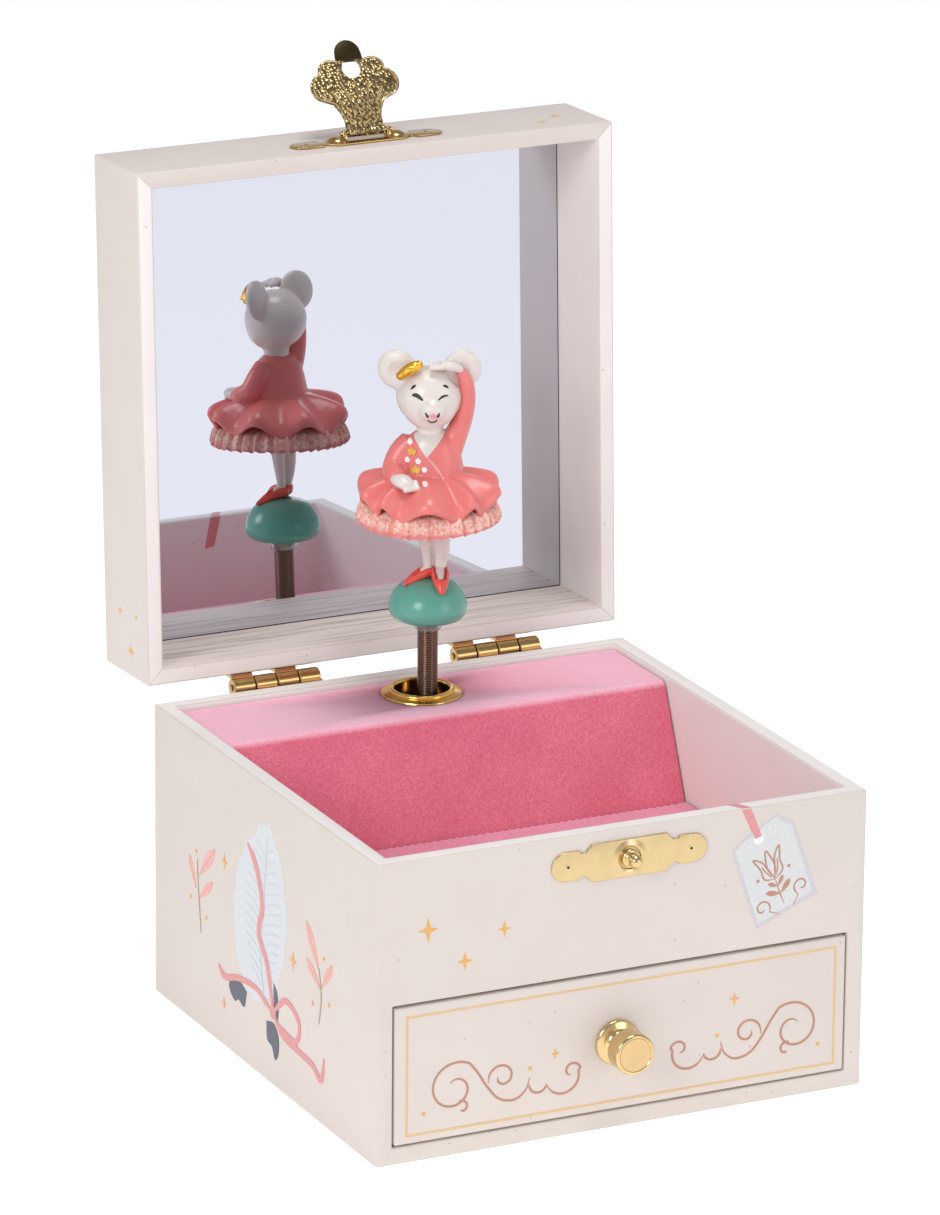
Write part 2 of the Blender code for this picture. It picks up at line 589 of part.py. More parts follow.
def build_comb(screws):
    """Eighteen steel teeth, longer towards the bass end, cut from one plate."""
    tip, back = POST[0] - 7.2, POST[0] - 28.5
    pitch = (DRUM[1] - DRUM[0] - 2.0) / TEETH
    low = DRUM[0] + 1.0
    outline = [(back, low - 0.6)]
    for k in range(TEETH):
        z = low + (k + 0.2) * pitch
        root = POST[0] - 17.5 + 0.22 * k
        outline += [(root, z), (tip, z), (tip, z + 0.6 * pitch), (root, z + 0.6 * pitch)]
    outline.append((back, DRUM[1] - 0.4))
    comb = add_plate("comb", outline, "Y", (POST[1] - 0.6, POST[1] + 0.6), STEEL)
    face = POST[1] - 0.6
    cutters = []
    for k, (name, z) in enumerate(zip(("comb_screw_lower", "comb_screw_upper"), screws[1:])):
        cutters.append(rod(f"cut_comb_hole_{k}", "Y", (screws[0], z), 1.3, (face - 1, face + 2.4), steps=10))
        profile = [(0, face + 6.0), (1.0, face + 6.0), (1.0, face - 0.25), (2.3, face - 0.25),
            (2.0, face - 1.7), (0, face - 1.9)]
        add_turned(name, profile, "Y", (screws[0], z), STEEL, None, 10)
    cut(comb, *cutters)


def build_drum(drum_body):
    """The pinned drum has the drive pinion under it and the governor's gear over it."""
    bm = bmesh.new()
    steps, x, y = 24, POST[0], POST[1]
    heights = [DRUM[0] + 1.0 + k * (DRUM[1] - DRUM[0] - 2.0) / TEETH for k in range(TEETH + 1)]
    heights = [DRUM[0]] + heights + [DRUM[1]]
    rings = []
    for z in heights:
        turns = [2 * math.pi * k / steps for k in range(steps)]
        rings.append([bm.verts.new((x + DRUM_R * math.cos(t), y + DRUM_R * math.sin(t), z)) for t in turns])
    pinned = []
    for row, (low, high) in enumerate(zip(rings, rings[1:])):
        for k in range(steps):
            m = (k + 1) % steps
            side = bm.faces.new((low[k], low[m], high[m], high[k]))
            if 0 < row <= TEETH and (k * 7 + row * 5) % 11 == 0:
                pinned.append(side)
    bm.faces.new(rings[0])
    bm.faces.new(rings[-1])
    bmesh.ops.recalc_face_normals(bm, faces=bm.faces[:])
    bmesh.ops.inset_individual(bm, faces=pinned, thickness=0.3)
    for pin in bmesh.ops.extrude_discrete_faces(bm, faces=pinned)["faces"]:
        outward = pin.normal.copy() * 0.4
        bmesh.ops.translate(bm, verts=pin.verts[:], vec=outward)
    drum = finish_mesh("music_cylinder", bm, BRASS, drum_body)
    pinion = add_plate("drive_pinion", gear_outline(POST, 12, COARSE, -90, 0.6, 1.0), "Z", DRIVE_Z, None,
        drum_body)
    neck = rod("drum_neck", "Z", POST, 3.2, (DRIVE_Z[1] - 0.2, DRUM[0] + 0.2), None, drum_body)
    collar = rod("drum_collar", "Z", POST, 4.0, (DRUM[1] - 0.2, TOP_GEAR_Z[0] + 0.2), None, drum_body)
    gear = add_plate("governor_gear", gear_outline(POST, 36, FINE, 0, 0.34, 0.5), "Z", TOP_GEAR_Z, None,
        drum_body)
    bore = rod("cut_drum_bore", "Z", POST, 1.65, (20, 60), None, drum_body)
    cut(fuse(drum, neck, pinion, collar, gear), bore)
    arbor = [(0, 19.6), (1.25, 19.6), (1.25, 59.0), (3.6, 59.0), (3.9, 59.6), (3.9, 66.0), (2.85, 66.0),
        (2.85, 60.6), (0, 60.6)]
    add_turned("cylinder_arbor", arbor, "Z", POST, STEEL, drum_body, 14)


def build_drive(key):
    """Spring barrel, face gear, arbor and key share one axis along Y."""
    centre = (POST[0], KEY_Z)
    barrel = [(1.9, 23.5), (9.6, 23.5), (10.0, 24.0), (10.0, 34.6), (9.0, 34.6), (9.0, 24.7), (1.9, 24.7)]
    add_turned("spring_barrel", barrel, "Y", centre, BRASS, key, 24)
    inner, outer, turns = [], [], 5
    count = turns * 14
    for k in range(count + 1):
        turn = 2 * math.pi * turns * k / count
        far = 2.4 + 5.9 * k / count
        inner.append((centre[0] + far * math.cos(turn), centre[1] + far * math.sin(turn)))
        outer.append((centre[0] + (far + 0.35) * math.cos(turn), centre[1] + (far + 0.35) * math.sin(turn)))
    add_plate("mainspring", outer + inner[::-1], "Y", (25.2, 34.0), STEEL, key)
    rod("winding_arbor", "Y", centre, 1.5, (22.5, 66.0), STEEL, key, 12)
    disc = [(1.85, 34.95), (10.9, 34.95), (10.9, 38.6), (1.85, 38.6)]
    gear = add_turned("crown_gear", disc, "Y", centre, BRASS, key, 24)
    count, pitch_r = 24, COARSE * 12
    teeth = []
    for k in range(count):
        turn = math.radians(90 + 7.5 + 15 * k)
        ux, uz = math.cos(turn), math.sin(turn)
        half = 0.40
        corners = []
        for far, side in ((pitch_r - 0.95, -half), (pitch_r + 0.85, -half), (pitch_r + 0.85, half),
            (pitch_r - 0.95, half)):
            corners.append((centre[0] + far * ux - side * uz, centre[1] + far * uz + side * ux))
        teeth.append(add_plate(f"crown_tooth_{k}", corners, "Y", (38.4, 40.35), None, key))
    fuse(gear, *teeth)
    build_key(key, centre)


def build_key(key, centre):
    """A butterfly key: a hub and two flat wings with round ends."""
    x, z = centre
    profile = [(1.8, 61.0), (3.1, 61.0), (3.3, 61.6), (3.3, 67.0), (2.7, 67.6), (1.8, 67.6)]
    hub = add_turned("winding_key", profile, "Y", centre, STEEL, key, 16)
    for side in (-1, 1):
        ring = arc((x + side * 7.2, 72.0), 4.0, -60 if side > 0 else 240, 150 if side > 0 else 30, 8)
        blade = [(x + side * 2.0, 62.2), (x + side * 5.0, 65.0)] + ring + [(x + side * 2.0, 67.2)]
        wing = add_plate(f"key_wing_{side}", blade, "Z", (z - 0.7, z + 0.7), None, key)
        fuse(hub, wing)


def build_governor(governor, fan):
    y = POST[1]
    centre = (GOVERNOR_X, y)
    wheel = add_plate("governor_wheel", gear_outline(centre, 36, FINE, 0, 0.34, 0.5), "Z", WHEEL_Z, BRASS,
        governor)
    pinion = add_plate("governor_pinion", gear_outline(centre, 12, FINE, 15, 0.34, 0.5), "Z", TOP_GEAR_Z,
        None, governor)
    stem = rod("governor_stem", "Z", centre, 1.0, (34.8, 59.2), None, governor, 10)
    fuse(wheel, pinion, stem)
    centre = (FAN_X, y)
    blade = add_box("governor_fan", (FAN_X - 4.4, y - 0.4, 39.5), (FAN_X + 4.4, y + 0.4, 50.5), BRASS, fan)
    stem = rod("fan_stem", "Z", centre, 0.85, (34.8, 59.2), None, fan, 10)
    pinion = add_plate("fan_pinion", gear_outline(centre, 9, FINE, 0, 0.34, 0.5), "Z", (53.8, 55.7), None,
        fan)
    fuse(blade, stem, pinion)


def main():
    clear_scene()
    build_case()
    build_catch()
    lid = add_body("lid_axis", HINGE, None, (-LID_ANGLE, 0, 0))
    hasp = add_body("hasp_axis", HASP_PIVOT, lid, (-HASP_ANGLE, 0, 0))
    drawer = add_body("drawer_axis", (0, 0, KNOB_Z))
    arm = add_body("spring_arm_axis", (POST[0], POST[1], BEND_Z))
    figure = add_body("figure_axis", (POST[0], POST[1], BEND_Z), arm, (0, 0, FACING))
    drum_body = add_body("drum_axis", (POST[0], POST[1], DRUM[0]))
    key = add_body("key_axis", (POST[0], POST[1], KEY_Z))
    governor = add_body("governor_axis", (GOVERNOR_X, POST[1], WHEEL_Z[0]))
    fan = add_body("fan_axis", (FAN_X, POST[1], WHEEL_Z[0]))
    build_hinges(lid)
    build_lid(lid)
    build_hasp(lid, hasp)
    build_drawer(drawer)
    build_post(arm)
    build_figure(figure)
    build_movement(drum_body, key, governor, fan)


main()
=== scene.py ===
"""Looks of a wind-up music box: papered case and lid, rose flock, brass and a painted dancer.

Lengths are millimetres until a mesh is made. In the frame's axes, +Z is up and -Y is the front.
"""

import json
import logging
import math
from dataclasses import dataclass
from enum import Enum
from typing import Any, Callable, Iterable, NamedTuple, Sequence

import bmesh
import bpy
from mathutils import Matrix, Vector
from mathutils.bvhtree import BVHTree

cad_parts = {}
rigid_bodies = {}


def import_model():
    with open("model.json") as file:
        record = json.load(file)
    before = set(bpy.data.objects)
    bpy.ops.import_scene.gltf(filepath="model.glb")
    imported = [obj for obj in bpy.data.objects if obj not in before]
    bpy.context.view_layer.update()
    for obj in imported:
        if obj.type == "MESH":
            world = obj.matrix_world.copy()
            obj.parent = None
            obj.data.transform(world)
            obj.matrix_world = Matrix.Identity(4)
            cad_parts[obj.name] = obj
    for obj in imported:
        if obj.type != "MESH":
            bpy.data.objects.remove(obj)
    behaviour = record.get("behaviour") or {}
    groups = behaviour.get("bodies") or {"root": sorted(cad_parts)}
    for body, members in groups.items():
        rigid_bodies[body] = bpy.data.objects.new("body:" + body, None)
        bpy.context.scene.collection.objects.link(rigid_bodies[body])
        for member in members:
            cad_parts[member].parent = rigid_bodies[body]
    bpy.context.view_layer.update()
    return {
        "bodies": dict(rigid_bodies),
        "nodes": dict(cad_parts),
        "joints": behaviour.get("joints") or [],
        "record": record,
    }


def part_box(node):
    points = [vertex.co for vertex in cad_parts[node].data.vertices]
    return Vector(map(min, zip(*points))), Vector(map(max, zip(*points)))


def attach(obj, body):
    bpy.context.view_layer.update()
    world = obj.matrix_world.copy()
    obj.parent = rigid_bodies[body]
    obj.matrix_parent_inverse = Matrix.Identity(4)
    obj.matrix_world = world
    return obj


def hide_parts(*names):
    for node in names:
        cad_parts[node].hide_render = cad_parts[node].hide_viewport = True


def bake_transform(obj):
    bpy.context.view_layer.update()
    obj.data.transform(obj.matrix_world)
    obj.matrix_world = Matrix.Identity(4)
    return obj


MM = 0.001
LOG = logging.getLogger("music_box")

Point2 = tuple[float, float]
Point3 = tuple[float, float, float]
Path = Sequence[Sequence[float]]
Place = Callable[[float, float, float], Point3]
Item = bpy.types.Object
Tree = bpy.types.NodeTree
Node = bpy.types.Node
Socket = bpy.types.NodeSocket


# ---------------------------------------------------------------- colours and nodes


def to_linear(code: str) -> tuple[float, float, float, float]:
    """Turns an sRGB hex code into a linear colour.

    Args:
        code: six hex digits, with or without a leading hash.

    Returns:
        Red, green, blue and an alpha of one.
    """
    digits = code.lstrip("#")
    shares = [int(digits[k : k + 2], 16) / 255 for k in (0, 2, 4)]
    red, green, blue = (s / 12.92 if s <= 0.04045 else ((s + 0.055) / 1.055) ** 2.4 for s in shares)
    return red, green, blue, 1.0


def per_mm(spacing: float) -> float:
    """Texture scale that repeats once in `spacing` millimetres on coordinates in metres."""
    return 1.0 / (spacing * MM)


class Spot(NamedTuple):
    """A place in millimetres."""

    x: float
    y: float
    z: float


def box_mm(node: str) -> tuple[Spot, Spot]:
    """A CAD node's box in millimetres."""
    low, high = (Spot(*(value / MM for value in corner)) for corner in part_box(node))
    return low, high


def add_node(tree: Tree, kind: str, settings: dict[Any, Any] | None = None,
             links: dict[Any, Socket] | None = None) -> Node:
    """Adds a node with its settings and links.

    Args:
        tree: the material's node tree.
        kind: the node's type name.
        settings: attribute or input socket to value; a number picks an input by its place.
        links: input socket to the output that feeds it.

    Returns:
        The new node.
    """
    node = tree.nodes.new(kind)
    for key, value in (settings or {}).items():
        if isinstance(key, int) or key in node.inputs:
            node.inputs[key].default_value = value
        else:
            setattr(node, key, value)
    for key, source in (links or {}).items():
        tree.links.new(source, node.inputs[key])
    return node


def blend_colours(tree: Tree, share: Socket, first: Any, second: Any) -> Socket:
    """Mixes two colours, each a hex code or an output socket.

    Args:
        tree: the material's node tree.
        share: how much of the second colour shows.
        first: the colour at a share of zero.
        second: the colour at a share of one.

    Returns:
        The mixed colour's output.
    """
    node = add_node(tree, "ShaderNodeMix", {"data_type": "RGBA"}, {0: share})
    for place, colour in ((6, first), (7, second)):
        if isinstance(colour, str):
            node.inputs[place].default_value = to_linear(colour)
        else:
            tree.links.new(colour, node.inputs[place])
    return node.outputs[2]


def span(tree: Tree, value: Socket, old: Point2, new: Point2) -> Socket:
    """Maps a value from one range to another, held inside the new range."""
    settings = {"From Min": old[0], "From Max": old[1], "To Min": new[0], "To Max": new[1]}
    return add_node(tree, "ShaderNodeMapRange", settings, {"Value": value}).outputs[0]


# ---------------------------------------------------------------- finishes


@dataclass(frozen=True)
class Finish:
    """A surface with a colour and a roughness; its kinds add the pattern of the real material, and
    the flock and frill kinds add painted sheen and painted shade.
    """

    name: str
    colour: str
    roughness: float = 0.5

    def make(self) -> bpy.types.Material:
        """Makes the material once and gives the same one afterwards."""
        known = bpy.data.materials.get(self.name)
        if known:
            return known
        material = bpy.data.materials.new(self.name)
        material.use_nodes = True
        tree = material.node_tree
        shader = tree.nodes["Principled BSDF"]
        shader.inputs["Base Color"].default_value = to_linear(self.colour)
        shader.inputs["Roughness"].default_value = self.roughness
        place = add_node(tree, "ShaderNodeTexCoord").outputs["Object"]
        self.dress(tree, shader, place)
        return material

    def dress(self, tree: Tree, shader: Node, place: Socket) -> None:
        """Adds the pattern; a plain finish has a faint change of tone only."""
        self.tone(tree, shader, place, 6.0, 0.04)

    def noise(self, tree: Tree, place: Socket, size: float, detail: float = 3.0) -> Socket:
        """Noise whose patches are about `size` millimetres across."""
        return add_node(tree, "ShaderNodeTexNoise", {"Scale": per_mm(size), "Detail": detail},
            {"Vector": place}).outputs[0]

    def tone(self, tree: Tree, shader: Node, place: Socket, size: float, depth: float) -> None:
        """Lets the base colour wander darker and lighter by `depth`."""
        patches = self.noise(tree, place, size)
        level = span(tree, patches, (0.25, 0.75), (1 - depth, 1 + depth))
        settings = {"Color": to_linear(self.colour), "Hue": 0.5, "Saturation": 1.0}
        shaded = add_node(tree, "ShaderNodeHueSaturation", settings, {"Value": level}).outputs[0]
        tree.links.new(shaded, shader.inputs["Base Color"])

    def bump(self, tree: Tree, shader: Node, height: Socket, strength: float, depth: float) -> None:
        """Raises the surface by `depth` millimetres at most."""
        settings = {"Strength": strength, "Distance": depth * MM}
        node = add_node(tree, "ShaderNodeBump", settings, {"Height": height})
        tree.links.new(node.outputs[0], shader.inputs["Normal"])


@dataclass(frozen=True)
class WrappedPaper(Finish):
    """Uncoated paper pasted over board: a chalky cream with sparse grey fibres and flecks."""

    fleck: str = "9a918c"
    shade: str = "e2d5cb"
    streaks: float = 0.0

    def dress(self, tree: Tree, shader: Node, place: Socket) -> None:
        """Mottled cream, one fleck in every few millimetres, and a fine tooth to the surface."""
        clouds = span(tree, self.noise(tree, place, 14.0, 4.0), (0.35, 0.7), (0.0, 0.25))
        colour = blend_colours(tree, clouds, self.colour, self.shade)
        cells = add_node(tree, "ShaderNodeTexVoronoi", {"Scale": per_mm(3.2)}, {"Vector": place})
        near = add_node(tree, "ShaderNodeMath", {"operation": "LESS_THAN", 1: 0.085},
            {0: cells.outputs["Distance"]})
        pick = add_node(tree, "ShaderNodeSeparateColor", {}, {0: cells.outputs["Color"]})
        rare = add_node(tree, "ShaderNodeMath", {"operation": "GREATER_THAN", 1: 0.72},
            {0: pick.outputs[0]})
        both = add_node(tree, "ShaderNodeMath", {"operation": "MULTIPLY"},
            {0: near.outputs[0], 1: rare.outputs[0]})
        faint = add_node(tree, "ShaderNodeMath", {"operation": "MULTIPLY", 1: 0.45},
            {0: both.outputs[0]})
        colour = blend_colours(tree, faint.outputs[0], colour, self.fleck)
        if self.streaks:
            colour = self.grain(tree, place, colour)
        tree.links.new(colour, shader.inputs["Base Color"])
        self.bump(tree, shader, self.noise(tree, place, 0.5), 0.25, 0.05)

    def grain(self, tree: Tree, place: Socket, colour: Socket) -> Socket:
        """Limed-wood streaks 40 mm long and under a millimetre wide, along X."""
        stretched = add_node(tree, "ShaderNodeMapping", {"Scale": (0.05, 1.0, 1.0)},
            {"Vector": place}).outputs[0]
        lines = span(tree, self.noise(tree, stretched, 1.6, 5.0), (0.48, 0.68), (0.0, self.streaks))
        return blend_colours(tree, lines, colour, "8f857c")


@dataclass(frozen=True)
class RoseFlock(Finish):
    """Viscose flock on card: a dense short pile, deep straight on, with faces that turn up painted
    paler as sheen.
    """

    nap: str = "d25a78"
    brushed: str = "ffcddb"
    skim: float = 0.86

    def dress(self, tree: Tree, shader: Node, place: Socket) -> None:
        """Grainy pile with soft patches where the nap lies another way, and painted sheen that
        makes faces turned up paler.
        """
        grain = span(tree, self.noise(tree, place, 0.55, 2.0), (0.3, 0.7), (0.0, 0.8))
        patches = span(tree, self.noise(tree, place, 16.0), (0.35, 0.65), (0.0, 0.3))
        total = add_node(tree, "ShaderNodeMath", {"operation": "ADD", "use_clamp": True},
            {0: grain, 1: patches})
        colour = blend_colours(tree, total.outputs[0], self.colour, self.nap)
        # Painted sheen: faces that turn up are mixed towards a pale pink, the more the further they
        # face up.
        upward = add_node(tree, "ShaderNodeSeparateXYZ", {},
            {0: add_node(tree, "ShaderNodeNewGeometry").outputs["Normal"]})
        level = span(tree, upward.outputs[2], (0.45, 0.95), (0.0, self.skim))
        colour = blend_colours(tree, level, colour, self.brushed)
        colour = blend_colours(tree, span(tree, total.outputs[0], (0.1, 1.0), (0.0, 0.3)),
            colour, self.nap)
        tree.links.new(colour, shader.inputs["Base Color"])
        shader.inputs["Sheen Weight"].default_value = 0.6
        shader.inputs["Sheen Roughness"].default_value = 0.5
        shader.inputs["Sheen Tint"].default_value = to_linear("ffdcee")
        shader.inputs["Specular IOR Level"].default_value = 0.1
        self.bump(tree, shader, self.noise(tree, place, 0.4, 2.0), 0.7, 0.18)


@dataclass(frozen=True)
class Metal(Finish):
    """Plated or bare metal, its polish varying a little so that no highlight is perfect."""

    wear: float = 0.05
    stipple: float = 0.0

    def dress(self, tree: Tree, shader: Node, place: Socket) -> None:
        """Full metal with uneven polish; a stippled kind has pits under a millimetre apart."""
        shader.inputs["Metallic"].default_value = 1.0
        level = span(tree, self.noise(tree, place, 2.5), (0.3, 0.7),
            (self.roughness, self.roughness + self.wear))
        tree.links.new(level, shader.inputs["Roughness"])
        if self.stipple:
            pits = add_node(tree, "ShaderNodeTexVoronoi", {"Scale": per_mm(self.stipple)},
                {"Vector": place})
            depth = span(tree, pits.outputs["Distance"], (0.0, 0.7), (0.0, 1.0))
            colour = blend_colours(tree, span(tree, depth, (0.1, 0.9), (0.0, 0.75)),
                self.colour, "2a2010")
            tree.links.new(colour, shader.inputs["Base Color"])
            self.bump(tree, shader, pits.outputs["Distance"], 1.0, 0.25)
        else:
            self.tone(tree, shader, place, 4.0, 0.05)
            self.bump(tree, shader, self.noise(tree, place, 0.8), 0.12, 0.02)


@dataclass(frozen=True)
class PaintedResin(Finish):
    """Cast resin under satin paint laid on with a brush: even colour with soft strokes and a low
    gloss.
    """

    shade: str = "000000"
    depth: float = 0.22
    coat: float = 0.2

    def dress(self, tree: Tree, shader: Node, place: Socket) -> None:
        """Thin and thick paint a few millimetres apart, over a surface that is never quite flat."""
        strokes = span(tree, self.noise(tree, place, 3.5, 4.0), (0.35, 0.75), (0.0, self.depth))
        colour = blend_colours(tree, strokes, self.colour, self.shade)
        tree.links.new(colour, shader.inputs["Base Color"])
        shader.inputs["Coat Weight"].default_value = self.coat
        shader.inputs["Coat Roughness"].default_value = 0.28
        shader.inputs["Subsurface Weight"].default_value = 0.05
        shader.inputs["Subsurface Radius"].default_value = (0.001, 0.0006, 0.0004)
        self.bump(tree, shader, self.noise(tree, place, 1.4, 4.0), 0.25, 0.06)


@dataclass(frozen=True)
class SpeckledFrill(PaintedResin):
    """The petticoat's paint: blush, dabbed with cream and a few gold specks to read as lace."""

    edge_height: float = 111.3

    def dress(self, tree: Tree, shader: Node, place: Socket) -> None:
        """Dabs a millimetre across over the blush, specks between them, and painted shade along the
        lower edge.
        """
        dabs = span(tree, self.noise(tree, place, 0.9, 2.0), (0.44, 0.6), (0.0, 0.7))
        colour = blend_colours(tree, dabs, self.colour, "fbe3d0")
        cells = add_node(tree, "ShaderNodeTexVoronoi", {"Scale": per_mm(1.2)}, {"Vector": place})
        near = add_node(tree, "ShaderNodeMath", {"operation": "LESS_THAN", 1: 0.26},
            {0: cells.outputs["Distance"]})
        colour = blend_colours(tree, span(tree, near.outputs[0], (0, 1), (0, 0.6)),
            colour, "d08a4a")
        # Painted shade: the frill darkens to its shade colour along its lower edge.
        height = add_node(tree, "ShaderNodeSeparateXYZ", {}, {0: place}).outputs[2]
        low, high = (self.edge_height * MM, (self.edge_height + 0.7) * MM)
        colour = blend_colours(tree, span(tree, height, (low, high), (0.8, 0.0)),
            colour, self.shade)
        tree.links.new(colour, shader.inputs["Base Color"])
        self.bump(tree, shader, self.noise(tree, place, 0.9, 3.0), 0.7, 0.18)


@dataclass(frozen=True)
class SilveredGlass(Finish):
    """Float glass silvered behind: a clean cool reflection with a trace of dust."""

    def dress(self, tree: Tree, shader: Node, place: Socket) -> None:
        """Full mirror, a shade duller in broad smears."""
        shader.inputs["Metallic"].default_value = 1.0
        level = span(tree, self.noise(tree, place, 30.0), (0.3, 0.7),
            (self.roughness, self.roughness + 0.012))
        tree.links.new(level, shader.inputs["Roughness"])


@dataclass(frozen=True)
class ClearPlastic(Finish):
    """Clear moulded PVC with a slight haze."""

    def dress(self, tree: Tree, shader: Node, place: Socket) -> None:
        """See-through, with a faintly rippled surface from the mould."""
        shader.inputs["Transmission Weight"].default_value = 0.85
        shader.inputs["IOR"].default_value = 1.5
        self.bump(tree, shader, self.noise(tree, place, 1.0), 0.1, 0.03)


@dataclass(frozen=True)
class BareBoard(Finish):
    """Plain fibreboard, sawn: tan, with fine dark fibres."""

    def dress(self, tree: Tree, shader: Node, place: Socket) -> None:
        """Fibres half a millimetre long on a patchy ground."""
        fibres = span(tree, self.noise(tree, place, 0.6, 4.0), (0.4, 0.7), (0.0, 0.5))
        tree.links.new(blend_colours(tree, fibres, self.colour, "8a6844"),
            shader.inputs["Base Color"])
        self.bump(tree, shader, self.noise(tree, place, 0.6), 0.3, 0.08)


@dataclass(frozen=True)
class PrintedInk(Finish):
    """Offset-printed ink: flat colour with the paper's tooth showing through."""

    metallic: float = 0.0

    def dress(self, tree: Tree, shader: Node, place: Socket) -> None:
        """Ink that thins a little over the paper's fibres."""
        shader.inputs["Metallic"].default_value = self.metallic
        self.tone(tree, shader, place, 0.8, 0.07)


PAPER = WrappedPaper("wrapped_paper", "dbd1c8", 0.62, shade="d3c6bb")
LID_PAPER = WrappedPaper("wrapped_paper_streaked", "e4d9d0", 0.62, shade="dccfc5", streaks=0.5)
TRAY_PAPER = WrappedPaper("wrapped_paper_inside", "f0ebe5", 0.62, shade="e8dfd8")
# The flocks paint faces that turn up paler as sheen, the tray pad's less so.
ROSE = RoseFlock("rose_flock", "f08a9a", 0.95, nap="dc6880")
TRAY_ROSE = RoseFlock("rose_flock_tray", "e9809a", 0.95, skim=0.25)
BRASS = Metal("plated_brass_polished", "dcc08a", 0.14)
PALE_BRASS = Metal("plated_brass_satin", "d8bf8e", 0.26)
FACE_BRASS = Metal("plated_brass_matt_face", "ddbe8c", 0.4)
WARM_BRASS = Metal("plated_brass_warm", "ecc068", 0.16)
AGED_BRASS = Metal("aged_brass_polished", "bd9c66", 0.15)
STRUCK_BRASS = Metal("struck_brass_stippled", "dcc28a", 0.22, stipple=0.75)
# Dark brass: the nail heads' dark pin marks, and a painted dark reflection on the hasp's thumb tab.
DARK_BRASS = Metal("tarnished_brass", "4a3e2a", 0.32)
STEEL = Metal("nickelled_steel_polished", "b9b0a8", 0.2)
SPRING_STEEL = Metal("drawn_spring_steel", "7d6456", 0.2)
GLASS = SilveredGlass("silvered_mirror_glass", "ced0d8", 0.008)
CLEAR = ClearPlastic("clear_moulded_plastic", "f4f2ee", 0.12)
BOARD = BareBoard("sawn_fibreboard", "b0895c", 0.8)
CORAL = PaintedResin("resin_painted_coral", "e97f79", 0.32, shade="d9625e")
# Light coral is a painted highlight along the dress's wrap crease.
CORAL_HIGHLIGHT = PaintedResin("resin_painted_light_coral", "f2a39b", 0.28, shade="ee938c")
SHOE_RED = PaintedResin("resin_painted_red", "ee5f52", 0.26, shade="dc4c42")
SKIN = PaintedResin("resin_painted_cream", "e3dbd3", 0.3, shade="d0c4ba", coat=0.25)
JADE = PaintedResin("resin_painted_jade", "66b39f", 0.24, shade="55a08b")
# The frill's shade colour is painted shade along its lower edge.
FRILL = SpeckledFrill("resin_painted_frill", "f0a79b", 0.55, shade="e07c7c")
TIARA_GOLD = Metal("gilt_paint_polished", "f2bb4a", 0.3)
GILT_STAR = PrintedInk("gilt_paint_bright", "f0bd58", 0.3, metallic=0.35)
BLACK_PAINT = PrintedInk("brushed_black_paint", "2b2724", 0.4)
ROSE_PAINT = PrintedInk("brushed_rose_paint", "e9a0b4", 0.45)
WHITE_PAINT = PrintedInk("brushed_white_paint", "fbf6f0", 0.4)
GOLD_INK = PrintedInk("printed_gold_ink", "e2ae62", 0.5)
BORDER_INK = PrintedInk("printed_pale_gold_ink", "dfbc8b", 0.5)
COPPER_INK = PrintedInk("printed_copper_ink", "b98a73", 0.5)
PINK_INK = PrintedInk("printed_pink_ink", "eab0a6", 0.55)
RIBBON_INK = PrintedInk("printed_ribbon_ink", "dc9694", 0.55)
STEM_INK = PrintedInk("printed_stem_ink", "b39c82", 0.55)
SLATE_INK = PrintedInk("printed_slate_ink", "5c606b", 0.55)
PLUME_INK = PrintedInk("printed_plume_ink", "d5d9da", 0.6)
PLUME_LINE = PrintedInk("printed_plume_line_ink", "c6cbcc", 0.6)
TAG_INK = PrintedInk("printed_tag_ink", "d6d7d5", 0.6)
TAG_EDGE = PrintedInk("printed_tag_edge_ink", "cdc8ca", 0.6)
TAG_RING = PrintedInk("printed_tag_ring_ink", "efebe9", 0.6)
SEAM_INK = PrintedInk("paper_seam_shadow", "d6c9be", 0.7)
# Dark rose dashes painted as the shade in the flock's perforated bend.
PERFORATION_SHADE_INK = PrintedInk("flock_seam_stitch", "c9647c", 0.8)
GROOVE_SHADOW = PrintedInk("mirror_groove_shadow", "3a3634", 0.8)


class Slot(Enum):
    """The record's material slots, named alongside the new pieces."""

    PAPER = "wrapped_board"
    BOARD = "bare_board"
    FLOCK = "flock"
    BRASS = "brass_hardware"
    STEEL = "steel"
    GLASS = "mirror_glass"
    JADE = "jade_paint"
    CORAL = "coral_paint"
    FRILL = "blush_paint"
    CREAM = "cream_paint"
    CLEAR = "clear_plastic"


# ---------------------------------------------------------------- mesh work


def link_mesh(name: str, bm: bmesh.types.BMesh, smooth: float) -> Item:
    """Links an object made from a bmesh in metres, shaded smooth under an angle in degrees."""
    mesh = bpy.data.meshes.new(name)
    bm.to_mesh(mesh)
    bm.free()
    mesh.shade_smooth()
    mesh.set_sharp_from_angle(angle=math.radians(smooth))
    item = bpy.data.objects.new(name, mesh)
    bpy.context.scene.collection.objects.link(item)
    return item


def to_object(name: str, bm: bmesh.types.BMesh, smooth: float = 35.0) -> Item:
    """Turns a bmesh in millimetres into an object in metres, shaded smooth under an angle.

    Args:
        name: the new object's name.
        bm: the mesh; it is freed.
        smooth: edges sharper than this many degrees stay sharp.

    Returns:
        The new object, linked to the scene.
    """
    bmesh.ops.recalc_face_normals(bm, faces=bm.faces[:])
    bmesh.ops.scale(bm, vec=(MM, MM, MM), verts=bm.verts[:])
    return link_mesh(name, bm, smooth)


def settle(item: Item) -> Item:
    """Applies an object's modifiers to its mesh."""
    graph = bpy.context.evaluated_depsgraph_get()
    mesh = bpy.data.meshes.new_from_object(item.evaluated_get(graph), depsgraph=graph)
    item.modifiers.clear()
    old, item.data = item.data, mesh
    bpy.data.meshes.remove(old)
    mesh.name = item.name
    return item


